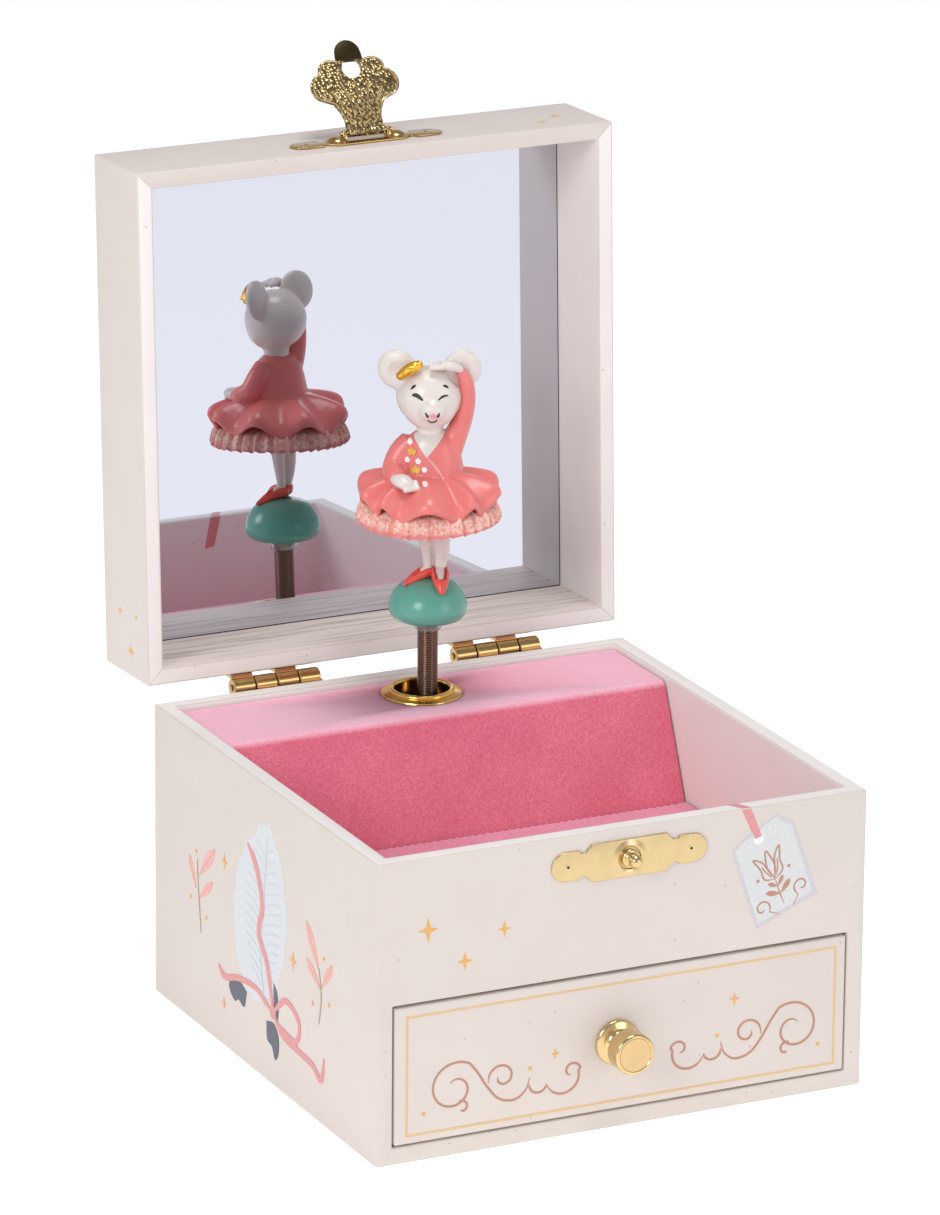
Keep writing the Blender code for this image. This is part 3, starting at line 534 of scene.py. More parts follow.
def remove(*items: Item) -> None:
    """Takes helper objects out of the file."""
    for item in items:
        bpy.data.objects.remove(item, do_unlink=True)


def block(name: str, low: Sequence[float], high: Sequence[float]) -> Item:
    """A box between two corners."""
    bm = bmesh.new()
    for vertex in bmesh.ops.create_cube(bm, size=1.0)["verts"]:
        vertex.co = [a + (b - a) * (c + 0.5) for a, b, c in zip(low, high, vertex.co)]
    return to_object(name, bm)


def carve(item: Item, *tools: Item, operation: str = "DIFFERENCE") -> Item:
    """Cuts the tools from an object, or joins them to it, and removes them."""
    for tool in tools:
        step = item.modifiers.new("carve", "BOOLEAN")
        step.operation = operation
        step.solver = "EXACT"
        step.object = tool
        settle(item)
    remove(*tools)
    return item


def soften(item: Item, width: float, segments: int = 3, angle: float = 40.0) -> Item:
    """Rounds the sharp edges by `width` millimetres."""
    step = item.modifiers.new("soften", "BEVEL")
    step.width = width * MM
    step.segments = segments
    step.limit_method = "ANGLE"
    step.angle_limit = math.radians(angle)
    step.harden_normals = False
    settle(item)
    item.data.shade_smooth()
    item.data.set_sharp_from_angle(angle=math.radians(50))
    return item


def join(name: str, items: Sequence[Item]) -> Item:
    """Puts several meshes in one object."""
    bm = bmesh.new()
    for item in items:
        bm.from_mesh(item.data)
    remove(*items)
    return link_mesh(name, bm, 40.0)


def sculpt(item: Item, voxel: float, rounds: int = 4) -> Item:
    """Melts overlapping forms into one skin, as a sculptor's putty would.

    Args:
        item: the joined forms.
        voxel: the size of the new mesh's cells in millimetres.
        rounds: how many times the skin is relaxed.

    Returns:
        The same object with its new mesh.
    """
    step = item.modifiers.new("melt", "REMESH")
    step.mode = "VOXEL"
    step.voxel_size = voxel * MM
    relax = item.modifiers.new("relax", "SMOOTH")
    relax.factor = 0.5
    relax.iterations = rounds
    settle(item)
    item.data.shade_smooth()
    return item


def prism(name: str, outline: Sequence[Point2], place: Place, low: float, high: float) -> Item:
    """A flat outline given thickness.

    Args:
        name: the new object's name.
        outline: the outline's points in its plane.
        place: turns two plane coordinates and a height into a point in the frame.
        low: the height of one face.
        high: the height of the other face.

    Returns:
        The closed plate.
    """
    bm = bmesh.new()
    rows = [[bm.verts.new(place(u, v, h)) for u, v in outline] for h in (low, high)]
    bm.faces.new(rows[0])
    bm.faces.new(rows[1])
    for i in range(len(outline)):
        j = (i + 1) % len(outline)
        bm.faces.new((rows[0][i], rows[0][j], rows[1][j], rows[1][i]))
    return to_object(name, bm)


def turned(name: str, profile: Sequence[Point2], place: Place, steps: int = 64,
           smooth: float = 35.0) -> Item:
    """A profile of (radius, along) turned about its axis; off the axis it makes a ring.

    Args:
        name: the new object's name.
        profile: points of the profile in order.
        place: turns two cross coordinates and a place along the axis into a point in the frame.
        steps: how many sides the turning has.
        smooth: edges sharper than this many degrees stay sharp.

    Returns:
        The turned solid.
    """
    bm = bmesh.new()
    rings = []
    for radius, along in profile:
        count = 1 if radius == 0 else steps
        turns = [2 * math.pi * k / steps for k in range(count)]
        rings.append([bm.verts.new(place(radius * math.cos(t), radius * math.sin(t), along))
            for t in turns])
    pairs = list(zip(rings, rings[1:]))
    if len(rings[0]) > 1:
        pairs.append((rings[-1], rings[0]))
    for low, high in pairs:
        for k in range(steps):
            m = (k + 1) % steps
            corners = [low[k % len(low)], low[m % len(low)], high[m % len(high)],
                high[k % len(high)]]
            bm.faces.new(list(dict.fromkeys(corners)))
    return to_object(name, bm, smooth)


def smooth_path(points: Path, steps: int = 6) -> list[Vector]:
    """Points along a Catmull-Rom curve through the given points, of any dimension."""
    nodes = [Vector(p) for p in points]
    nodes = [2 * nodes[0] - nodes[1]] + nodes + [2 * nodes[-1] - nodes[-2]]
    path = []
    for a, b, c, d in zip(nodes, nodes[1:], nodes[2:], nodes[3:]):
        for k in range(steps):
            t = k / steps
            path.append(0.5 * (2 * b + (c - a) * t + (2 * a - 5 * b + 4 * c - d) * t**2
                + (3 * b - a - 3 * c + d) * t**3))
    path.append(nodes[-2])
    return path


def close_band(bm: bmesh.types.BMesh, low: list[Any], high: list[Any]) -> None:
    """Fills the band between two rings of as many vertices."""
    count = len(low)
    for k in range(count):
        m = (k + 1) % count
        bm.faces.new((low[k], low[m], high[m], high[k]))


def swept(name: str, points: Path, steps: int = 6, sides: int = 16, flat: float = 1.0) -> Item:
    """A limb through (x, y, z, radius) points with rounded ends.

    Args:
        name: the new object's name.
        points: places and radii along the limb.
        steps: how many rings lie between two points.
        sides: how many sides each ring has.
        flat: the ring's height as a share of its width.

    Returns:
        The closed limb.
    """
    path = smooth_path(points, steps)
    spots = [Vector(p[:3]) for p in path]
    radii = [p[3] for p in path]
    bm = bmesh.new()
    side = Vector((0, 0, 1)).cross(spots[1] - spots[0])
    side = side.normalized() if side.length > 1e-6 else Vector((1, 0, 0))
    rings = []
    for k, (spot, radius) in enumerate(zip(spots, radii)):
        along = (spots[min(k + 1, len(spots) - 1)] - spots[max(k - 1, 0)]).normalized()
        side = (side - along * side.dot(along)).normalized()
        up = along.cross(side)
        turns = [2 * math.pi * m / sides for m in range(sides)]
        rings.append([bm.verts.new(spot + radius * (math.cos(t) * side + flat * math.sin(t) * up))
            for t in turns])
    for low, high in zip(rings, rings[1:]):
        close_band(bm, low, high)
    ends = ((rings[0], spots[0], spots[1]), (rings[-1], spots[-1], spots[-2]))
    for ring, spot, inner in ends:
        towards = spot - inner
        radius = (ring[0].co - spot).length
        cap = bm.verts.new(spot + towards.normalized() * radius * 0.6)
        for k in range(sides):
            bm.faces.new((ring[k], ring[(k + 1) % sides], cap))
    return to_object(name, bm, 60.0)


def ball(name: str, centre: Point3, radii: Point3, tilt: Point3 = (0.0, 0.0, 0.0),
        segments: int = 32) -> Item:
    """An ellipsoid, turned by `tilt` degrees about X, Y and Z."""
    bm = bmesh.new()
    made = bmesh.ops.create_uvsphere(bm, u_segments=segments, v_segments=segments // 2, radius=1.0)
    turn = Matrix.Rotation(math.radians(tilt[2]), 3,
        "Z") @ Matrix.Rotation(math.radians(tilt[1]), 3, "Y")
    turn = turn @ Matrix.Rotation(math.radians(tilt[0]), 3, "X")
    for vertex in made["verts"]:
        vertex.co = Vector(centre) + turn @ Vector([r * v for r, v in zip(radii, vertex.co)])
    return to_object(name, bm, 60.0)


def arc(centre: Point2, radius: float, start: float, end: float, count: int = 12) -> list[Point2]:
    """Points on an arc, its angles in degrees."""
    turns = [math.radians(start + (end - start) * k / (count - 1)) for k in range(count)]
    return [(centre[0] + radius * math.cos(t), centre[1] + radius * math.sin(t)) for t in turns]


def spiral(centre: Point2, outer: float, inner: float, start: float, end: float,
        count: int = 28) -> list[Point2]:
    """Points on a spiral from its outer end inwards, its angles in degrees."""
    points = []
    for k in range(count):
        share = k / (count - 1)
        turn = math.radians(start + (end - start) * share)
        far = outer + (inner - outer) * share
        points.append((centre[0] + far * math.cos(turn), centre[1] + far * math.sin(turn)))
    return points


def finish_piece(item: Item, finish: Finish, body: str, slot: Slot, *nodes: str) -> Item:
    """Dresses a piece, lets it ride on its body and, where it stands for CAD nodes, replaces them.

    Args:
        item: the piece.
        finish: its finish, unless it has materials already.
        body: the body that it moves with.
        slot: the record's slot; not used.
        nodes: the CAD nodes that it stands for.

    Returns:
        The same piece.
    """
    if not item.data.materials:
        item.data.materials.append(finish.make())
    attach(item, body)
    if nodes:
        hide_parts(*nodes)
    return item


def move(item: Item, matrix: Matrix) -> Item:
    """Moves an object's mesh by a matrix in metres."""
    item.data.transform(matrix)
    return item


def about(pivot: Sequence[float], degrees: float, axis: str) -> Matrix:
    """A turn about an axis through a pivot in metres."""
    centre = Matrix.Translation(Vector(pivot))
    return centre @ Matrix.Rotation(math.radians(degrees), 4, axis) @ centre.inverted()


# ---------------------------------------------------------------- printed art

# Directions across a face, up it and out of it.
FRONT = ((1, 0, 0), (0, 0, 1), (0, -1, 0))
LEFT = ((0, -1, 0), (0, 0, 1), (-1, 0, 0))


@dataclass(frozen=True)
class Face:
    """A flat face to print on: a corner, two directions along it, and the way it looks."""

    origin: Point3
    across: Point3
    up: Point3
    out: Point3
    body: str
    matrix: Matrix | None = None

    def place(self, u: float, v: float, h: float) -> Point3:
        """The point at (u, v) on the face, `h` millimetres proud of it."""
        spot = [o + u * a + v * b + h * c for o, a, b,
            c in zip(self.origin, self.across, self.up, self.out)]
        return spot[0], spot[1], spot[2]


class Printer:
    """Draws shapes and lines as thin ink on a face."""

    ink_foot = -0.04
    ink_height = 0.05
    hair = 0.0015

    def __init__(self, face: Face) -> None:
        """Takes the face that it prints on."""
        self.face = face
        self.layer = 0.0

    def rise(self, lift: float) -> float:
        """The next shape's height, a hair above the last one's, so that no two share a surface."""
        self.layer += self.hair
        return self.ink_height + lift + self.layer

    def keep(self, name: str, items: list[Item], finish: Finish) -> Item:
        """Joins a motif's shapes into one piece and hands it over."""
        item = join(name, items) if len(items) > 1 else items[0]
        item.name = name
        if self.face.matrix:
            move(item, self.face.matrix)
        LOG.info("printed %s", name)
        return finish_piece(item, finish, self.face.body, Slot.PAPER)

    def shape(self, outline: Sequence[Point2], lift: float = 0.0) -> Item:
        """A filled outline, `lift` millimetres over the ink under it."""
        return prism("ink", outline, self.face.place, self.ink_foot, self.rise(lift))

    def line(self, points: Sequence[Point2], width: float, lift: float = 0.0,
            taper: bool = True) -> Item:
        """A pen line of a given width that thins at its ends."""
        left, right = [], []
        last = len(points) - 1
        for k, point in enumerate(points):
            before, after = points[max(k - 1, 0)], points[min(k + 1, last)]
            along = Vector((after[0] - before[0], after[1] - before[1]))
            along = along.normalized() if along.length else Vector((1, 0))
            ease = min(1.0, 0.35 + 5 * min(k, last - k) / max(last, 1)) if taper else 1.0
            half = width / 2 * ease
            left.append((point[0] - along.y * half, point[1] + along.x * half))
            right.append((point[0] + along.y * half, point[1] - along.x * half))
        bm = bmesh.new()
        rows = []
        for h in (self.ink_foot, self.rise(lift)):
            rows.append([[bm.verts.new(self.face.place(u, v, h)) for u, v in edge]
                for edge in (left, right)])
        (a, b), (c, d) = rows
        for k in range(last):
            bm.faces.new((a[k], a[k + 1], b[k + 1], b[k]))
            bm.faces.new((c[k], c[k + 1], d[k + 1], d[k]))
            bm.faces.new((a[k], a[k + 1], c[k + 1], c[k]))
            bm.faces.new((b[k], b[k + 1], d[k + 1], d[k]))
        bm.faces.new((a[0], b[0], d[0], c[0]))
        bm.faces.new((a[last], b[last], d[last], c[last]))
        return to_object("ink", bm)

    def star(self, u: float, v: float, size: float) -> Item:
        """A star of four long points, `size` millimetres tall."""
        outline = []
        for k in range(8):
            reach = (size / 2 if k % 4 == 0 else size * 0.42) if k % 2 == 0 else size * 0.14
            turn = math.radians(90 + 45 * k)
            outline.append((u + reach * math.cos(turn), v + reach * math.sin(turn)))
        return self.shape(outline)

    def dot(self, u: float, v: float, size: float) -> Item:
        """A round dot."""
        return self.shape(arc((u, v), size / 2, 0, 330, 12))

    def leaf(self, foot: Point2, tip: Point2, width: float, lift: float = 0.0) -> Item:
        """A leaf between two points, widest past its middle."""
        start, end = Vector(foot), Vector(tip)
        along = end - start
        side = Vector((-along.y, along.x)).normalized() * width / 2
        shares = [(0.25, 0.55), (0.5, 0.95), (0.7, 1.0), (0.88, 0.6)]
        up = [start + along * t + side * w for t, w in shares]
        down = [start + along * t - side * w for t, w in reversed(shares)]
        return self.shape([tuple(p) for p in [start, *up, end, *down]], lift)


# ---------------------------------------------------------------- sub-assemblies


@dataclass
class Sizes:
    """Driving sizes read from the frame, in millimetres."""

    half: float
    wall: float
    height: float
    hinge: Point3
    lid_turn: float
    hasp: Point3
    hasp_turn: float
    post: Point2
    bend: float

    @classmethod
    def read(cls, frame: dict[str, Any]) -> "Sizes":
        """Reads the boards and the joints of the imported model.


        Returns:
            The sizes.
        """
        low, high = box_mm("case_front_board")
        joints = {j["name"]: j for j in frame["joints"]}

        def spot(name: str) -> Point3:
            x, y, z = (value / MM for value in joints[name]["pos_m"])
            return x, y, z

        bend = spot("spring_bend")
        return cls(high.x, high.y - low.y, high.z, spot("lid_hinge"),
            joints["lid_hinge"]["range_deg"][1],
                   spot("hasp_hinge"), joints["hasp_hinge"]["range_deg"][1], (bend[0],
                       bend[1]), bend[2])

    @property
    def lid_matrix(self) -> Matrix:
        """Opens a shut lid to its rest pose."""
        return about([v * MM for v in self.hinge], -self.lid_turn, "X")

    @property
    def hasp_matrix(self) -> Matrix:
        """Takes a latched hasp on a shut lid to its rest pose."""
        pivot = [v * MM for v in self.hasp]
        return about(pivot, -self.hasp_turn, "X") @ self.lid_matrix

    @property
    def hasp_shut(self) -> Point3:
        """The hasp's pivot while the lid is shut."""
        spot = self.lid_matrix.inverted() @ (Vector(self.hasp) * MM)
        return spot.x / MM, spot.y / MM, spot.z / MM


@dataclass
class Case:
    """The paper-wrapped box with its drawer opening, key hole, flocked tray and eyelet."""

    sizes: Sizes
    edge: float = 0.45
    flock_bend: float = 2.2
    slope_run: float = 11.7
    flock_thick: float = 1.4
    eyelet_shift: float = 1.4
    eyelet_seat: float = 68.82

    def build(self) -> None:
        """Makes the wrap, the flock and the eyelet, and hides the CAD parts that they stand for."""
        self.build_wrap()
        self.build_liner()
        self.build_pads()
        self.build_eyelet()

    def build_wrap(self) -> None:
        """The four boards under one skin of paper, with rounded edges."""
        s = self.sizes
        inner = s.half - s.wall
        shell = block("case_wrap", (-s.half, -s.half, 0), (s.half, s.half, s.height))
        hollow = block("hollow", (-inner, -inner, -1), (inner, inner, s.height + 1))
        low, high = box_mm("drawer_front")
        gap, top_gap = 0.5, 0.7
        corner = (low.x - gap, -s.half - 1, low.z - gap)
        opening = block("opening", corner, (high.x + gap, -inner + 1, high.z + top_gap))
        arbor_low, arbor_high = box_mm("winding_arbor")
        x, z = (arbor_low.x + arbor_high.x) / 2, (arbor_low.z + arbor_high.z) / 2
        key = turned("key", [(0, inner - 1), (3.0, inner - 1), (3.0, s.half + 1), (0, s.half + 1)],
            lambda a, b, h: (x + a, h, z + b), 40)
        soften(carve(shell, hollow, opening, key), self.edge)
        for paper in (PAPER, TRAY_PAPER):
            shell.data.materials.append(paper.make())
        for face in shell.data.polygons:
            inside = max(abs(face.center.x), abs(face.center.y)) < (inner + 0.05) * MM
            face.material_index = 1 if inside else 0
        boards = [f"case_{side}_board" for side in ("front", "back", "left", "right")]
        finish_piece(shell, PAPER, "case", Slot.PAPER, *boards)
        LOG.info("wrapped the case")

    def build_liner(self) -> None:
        """One sheet of flocked card over the platform and, past a soft bend, down to the tray."""
        low, high = box_mm("flocked_liner")
        back, top, foot_y, foot_z = high.y, high.z, low.y, low.z
        edge_y = foot_y + self.slope_run
        lean = math.degrees(math.atan2(top - foot_z, edge_y - foot_y))
        r = self.flock_bend
        set_back = r * math.tan(math.radians(lean / 2))
        corner = arc((edge_y + set_back, top - r), r, 90 + lean, 90, 8)
        under, fall = top - self.flock_thick, 1.6
        outline = [(foot_y, foot_z)] + corner + [(back, top), (back, under), (edge_y + fall, under),
            (foot_y + fall, foot_z)]
        sheet = prism("flocked_slope_and_platform", outline, lambda y, z, x: (x, y, z),
            low.x, high.x)
        px, py = self.sizes.post
        px -= self.eyelet_shift
        hole = turned("hole", [(0, 40), (7.2, 40), (7.2, 80), (0, 80)],
            lambda a, b, h: (px + a, py + b, h), 48)
        carve(sheet, hole)
        finish_piece(sheet, ROSE, "case", Slot.FLOCK, "flocked_liner")
        LOG.info("laid the flocked card")

    def build_pads(self) -> None:
        """Flocked pads with soft edges on the tray's and the drawer's floors, and painted shade in
        the perforations at the slope's foot.
        """
        pads = (("tray_pad", "tray_floor_pad", "case", TRAY_ROSE),
            ("drawer_pad", "drawer_liner", "drawer", ROSE))
        for name, node, body, flock in pads:
            pad = soften(block(name, *box_mm(node)), 0.35, 3)
            finish_piece(pad, flock, body, Slot.FLOCK, node)
        # Painted shade: dark dashes a millimetre in front of the slope's foot stand for the shade
        # in the card's perforated bend.
        low, high = box_mm("tray_floor_pad")
        foot, _ = box_mm("flocked_liner")
        pen = Printer(Face((0, foot.y, high.z), (1, 0, 0), (0, -1, 0), (0, 0, 1), "case"))
        pitch, length, inset = 1.9, 1.1, 1.0
        count = int((high.x - low.x) / pitch) - 1
        starts = [low.x + pitch * (k + 0.5) for k in range(count)]
        pen.keep("tray_pad_stitches", [pen.line([(x, inset), (x + length, inset)], 0.3, taper=False)
            for x in starts], PERFORATION_SHADE_INK)

    def build_eyelet(self) -> None:
        """A spun brass eyelet: a sloped flange, a rolled lip and a plain barrel."""
        low, high = box_mm("platform_eyelet")
        px, py = self.sizes.post
        px -= self.eyelet_shift
        flange, foot, seat = (high.x - low.x) / 2, low.z, self.eyelet_seat
        lip = arc((7.0, seat + 1.05), 0.62, -20, 200, 12)
        profile = [(6.35, foot), (6.75, foot), (6.75, seat - 0.2), (flange - 0.25, seat),
            (flange, seat + 0.18), (flange - 0.1, seat + 0.4)]
        profile += [(8.6, seat + 0.62), *lip]
        eyelet = turned("platform_eyelet_spun", profile, lambda a, b, h: (px + a, py + b, h), 96)
        finish_piece(eyelet, WARM_BRASS, "case", Slot.BRASS, "platform_eyelet")


@dataclass
class Lid:
    """The paper-wrapped lid and the groove round its mirror, drawn shut and turned to the open rest
    pose.
    """

    sizes: Sizes
    mouth: float = 70.3
    panel: float = 92.2
    top: float = 94.6
    glass: float = 91.1
    edge: float = 0.45

    def build(self) -> None:
        """Makes the wrap and its seams."""
        s = self.sizes
        inner = s.half - s.wall
        shell = block("lid_wrap", (-s.half, -s.half, self.mouth), (s.half, s.half, self.top))
        hollow = block("hollow", (-inner, -inner, self.mouth - 1), (inner, inner, self.panel))
        soften(carve(shell, hollow), self.edge)
        for paper in (PAPER, LID_PAPER, TRAY_PAPER):
            shell.data.materials.append(paper.make())
        for face in shell.data.polygons:
            inside = max(abs(face.center.x), abs(face.center.y)) < (inner + 0.05) * MM
            face.material_index = (1 if abs(face.normal.y) > 0.5 else 2) if inside else 0
        move(shell, s.lid_matrix)
        rails = [f"lid_{side}_rail" for side in ("front", "back", "left", "right")]
        finish_piece(shell, PAPER, "lid", Slot.PAPER, *rails, "lid_top_panel")
        self.build_seams(inner)
        LOG.info("wrapped the lid")

    def build_seams(self, inner: float) -> None:
        """Mitred paper seams at the rim's corners, and a dark strip painted as the shadow in the
        groove round the mirror.
        """
        s = self.sizes
        rim = Face((0, 0, self.mouth), (1, 0, 0), (0, 1, 0), (0, 0, -1), "lid", s.lid_matrix)
        pen = Printer(rim)
        pen.ink_height = 0.02
        lines = []
        for a in (-1, 1):
            for b in (-1, 1):
                near, far = inner + 0.4, s.half - 0.4
                lines.append(pen.line([(a * near, b * near), (a * far, b * far)], 0.18,
                    taper=False))
        pen.keep("lid_mitre_seams", lines, SEAM_INK)
        # Painted shadow: a thin dark strip in the groove between the mirror and the walls.
        low = self.glass
        groove = block("mirror_groove", (-inner + 0.02, -inner + 0.02, low + 0.15),
            (inner - 0.02, inner - 0.02, low + 0.9))
        centre = block("centre", (-inner + 0.32, -inner + 0.32, low),
            (inner - 0.32, inner - 0.32, low + 1))
        move(carve(groove, centre), s.lid_matrix)
        finish_piece(groove, GROOVE_SHADOW, "lid", Slot.PAPER)


@dataclass
class Hinges:
    """Two brass butt hinges of four knuckles each, with domed nails."""

    sizes: Sizes
    barrel: float = 2.2
    bore: float = 0.85
    leaf: float = 0.85
    knuckles: int = 4

    def build(self) -> None:
        """Makes both leaves and the pin of each hinge."""
        for side in ("left", "right"):
            low, high = box_mm(f"{side}_hinge_case_leaf")
            start, end = low.x, high.x
            self.build_leaf(side, "case", start, end, 1)
            self.build_leaf(side, "lid", start, end, 0)
            self.build_pin(side, start, end)
        LOG.info("hung the hinges")

    def along_x(self, a: float, b: float, x: float) -> Point3:
        """A point round the hinge axis."""
        return x, self.sizes.hinge[1] + a, self.sizes.hinge[2] + b

    def build_leaf(self, side: str, owner: str, start: float, end: float, first: int) -> None:
        """A leaf bent into its two knuckles, with two nails."""
        up = 1 if owner == "lid" else -1
        y = self.sizes.half + 0.02
        z = self.sizes.hinge[2]
        corners = sorted((z + up * 2.9, z + up * 9.5))
        plate = soften(block("plate", (start, y, corners[0]), (end, y + self.leaf, corners[1])),
            0.3, 2)
        parts = [plate]
        step = (end - start) / self.knuckles
        r, c = self.barrel, 0.22
        for k in range(self.knuckles):
            if k % 2 != first:
                continue
            a, b = start + k * step + 0.12, start + (k + 1) * step - 0.12
            profile = [(self.bore, a), (r - c, a), (r, a + c), (r, b - c), (r - c, b),
                (self.bore, b)]
            parts.append(turned("knuckle", profile, self.along_x, 40))
            web = sorted((z, z + up * 3.4))
            parts.append(block("web", (a, y, web[0]), (b, y + self.leaf, web[1])))
        for share in (0.25, 0.75):
            x = start + (end - start) * share
            dome = [(0, y + self.leaf + 0.45), (0.6, y + self.leaf + 0.35), (1.0, y + self.leaf),
                (1.0, y + self.leaf - 0.2), (0, y + self.leaf - 0.2)]
            parts.append(turned("nail", dome,
                lambda a, b, h, x=x: (x + a, h, z + up * 6.6 + b), 20))
        item = join(f"{side}_hinge_{owner}_leaf_rolled", parts)
        if owner == "lid":
            move(item, self.sizes.lid_matrix)
        finish_piece(item, AGED_BRASS, owner, Slot.BRASS, f"{side}_hinge_{owner}_leaf")

    def build_pin(self, side: str, start: float, end: float) -> None:
        """The pin with its two riveted ends."""
        r = self.bore - 0.06
        profile = [(0, start - 0.35), (r * 0.7, start - 0.3), (r, start - 0.1), (r, end + 0.1),
            (r * 0.7, end + 0.3), (0, end + 0.35)]
        pin = turned(f"{side}_hinge_pin_riveted", profile, self.along_x, 20)
        finish_piece(pin, AGED_BRASS, "case", Slot.STEEL, f"{side}_hinge_pin")


@dataclass
class Clasp:
    """Catch plate and stud on the case; base plate, ears and struck hasp on the lid."""

    sizes: Sizes
    length: float = 38.0
    thick: float = 0.55
    nail_x: float = 15.1
    x: float = 0.0
    catch_z: float = 0.0

    def __post_init__(self) -> None:
        """Takes its place from the stud."""
        low, high = box_mm("catch_stud")
        self.x = (low.x + high.x) / 2
        self.catch_z = (low.z + high.z) / 2

    def build(self) -> None:
        """Makes the four fittings and their nails."""
        self.build_catch()
        self.build_hasp_plate()
        self.build_hasp()
        LOG.info("fitted the clasp")

    def outline(self, half_height: float, end_height: float, middle: float) -> list[Point2]:
        """A plate with a tall middle, stepped notches and round end lobes."""
        half = self.length / 2
        upper = [(middle, half_height), (middle + 1.6, half_height - 1.7),
            (middle + 2.5, half_height - 1.8)]
        upper += [(middle + 3.2, end_height)]
        lobe = arc((half - end_height, 0), end_height, 75, 0, 10)
        quarter = upper + lobe
        top = quarter + [(u, -v) for u, v in quarter[-2::-1]]
        return top + [(-u, -v) for u, v in top]

    def on_front(self, z: float) -> Place:
        """Places a plate's plane on the front face at a height."""
        face = -self.sizes.half
        return lambda u, v, h: (self.x + u, face - h, z + v)

    def nails(self, z: float, matrix: Matrix | None, owner: str, piece: str) -> None:
        """Two small domed nail heads, each with a dark pin mark in its middle."""
        place = self.on_front(z)
        top = self.thick
        for name, side in (("left", -1), ("right", 1)):
            head = [(0, top + 0.06), (0.5, top + 0.12), (0.9, top - 0.02), (0.9, 0), (0, 0)]
            mark = [(0, top + 0.17), (0.32, top + 0.14), (0.32, top), (0, top)]
            for kind, profile, finish in (("head", head, PALE_BRASS), ("mark", mark, DARK_BRASS)):
                nail = turned(f"{piece}_{name}_{kind}", profile,
                    lambda a, b, h, s=side: place(a + s * self.nail_x, b, h), 20)
                if matrix:
                    move(nail, matrix)
                nodes = (f"{piece}_{name}",) if kind == "head" else ()
                finish_piece(nail, finish, owner, Slot.BRASS, *nodes)

    def build_catch(self) -> None:
        """The catch plate with its pressed dish, and the turned stud."""
        place = self.on_front(self.catch_z)
        plate = soften(prism("plate", self.outline(4.4, 3.4, 9.2), place, 0.02, self.thick),
            0.24, 3, 30)
        dish = [(2.4, self.thick - 0.1), (2.6, self.thick + 0.3), (3.1, self.thick + 0.5),
            (3.7, self.thick + 0.26), (4.3, self.thick - 0.02), (4.3, self.thick - 0.1)]
        item = join("catch_plate_pressed", [plate, turned("dish", dish, place, 64)])
        finish_piece(item, PALE_BRASS, "case", Slot.BRASS, "catch_plate")
        self.nails(self.catch_z, None, "case", "catch_nail")
        collar = arc((1.6, self.thick + 0.5), 0.6, -50, 90, 10)
        tip = arc((0.0, 3.25), 1.55, -42, 90, 16)
        stud = [(0, 0.3), (2.3, 0.3), *collar, (1.3, self.thick + 1.4), (1.1, 2.1),
            *tip[:-1], (0, 4.8)]
        knob = turned("catch_stud_turned", stud, place, 48)
        finish_piece(knob, BRASS, "case", Slot.BRASS, "catch_stud")

    def build_hasp_plate(self) -> None:
        """The lid's base plate with two ears that hold the pin."""
        z = self.sizes.hasp_shut[2]
        place = self.on_front(z)
        outline = self.outline(3.3, 2.9, 8.6)
        plate = soften(prism("plate", outline, place, 0.02, self.thick), 0.15, 3, 30)
        parts = [plate]
        for side in (-1, 1):
            ear = [(0.2, -1.2), (0.2, 1.2), (1.3, 1.1)] + arc((2.2, 0.0), 0.65, 80, -80,
                10) + [(1.3, -1.1)]
            made = prism("ear", ear, lambda h, v, u, s=side: place(s * 5.5 + u, v, h), -0.55, 0.55)
            parts.append(soften(made, 0.28, 3, 30))
            dome = [(0, self.thick + 1.2), (1.2, self.thick + 1.05), (2.2, self.thick + 0.5),
                (2.7, 0.3), (2.7, 0.1), (0, 0.1)]
            parts.append(turned("boss", dome, lambda a, b, h, s=side: place(s * 7.4 + a, b, h), 32))
        plate = move(join("hasp_plate_pressed", parts), self.sizes.lid_matrix)
        finish_piece(plate, AGED_BRASS, "lid", Slot.BRASS, "hasp_plate")
        self.nails(z, self.sizes.lid_matrix, "lid", "hasp_nail")
        _, y, _ = self.sizes.hasp_shut
        pin = turned("hasp_pin_riveted", [(0, -6.6), (0.45, -6.6), (0.45, 6.6), (0, 6.6)],
            lambda a, b, u: (self.x + u, y + a, z + b), 20)
        finish_piece(move(pin, self.sizes.lid_matrix), BRASS, "lid", Slot.STEEL, "hasp_pin")

    def build_hasp(self) -> None:
        """A scalloped shell struck from sheet, with a beaded edge, chevrons and a thumb tab."""
        _, y, z = self.sizes.hasp_shut

        def place(u: float, v: float, h: float) -> Point3:
            return self.x + u, y + h, z - v

        half = [(4.7, 0.4), (4.6, 3.0), (5.2, 5.0), (6.4, 7.0)]
        half += arc((7.5, 11.2), 3.55, -55, 60, 9) + arc((5.6, 14.9), 2.75, -8, 100,
            8) + [(3.4, 17.3)]
        outline = half + [(-u, v) for u, v in half[::-1]]
        body = prism("hasp_struck", outline, place, -0.3, 0.3)
        hole = turned("hole", [(0, -2), (2.35, -2), (2.35, 2), (0, 2)],
            lambda a, b, h: place(a, 15.2 + b, h), 40)
        carve(body, hole)
        soften(body, 0.12, 2, 30)
        roll = turned("roll", [(0.5, -4.6), (1.0, -4.6), (1.0, 4.6), (0.5, 4.6)],
            lambda a, b, u: (self.x + u, y + a, z + b), 28)
        item = move(join("hasp_struck", [body, roll]), self.sizes.hasp_matrix)
        finish_piece(item, STRUCK_BRASS, "hasp", Slot.BRASS, "hasp")
        relief = join("hasp_relief", self.chevrons(place) + self.beading(half, place))
        finish_piece(move(relief, self.sizes.hasp_matrix), BRASS, "hasp", Slot.BRASS)
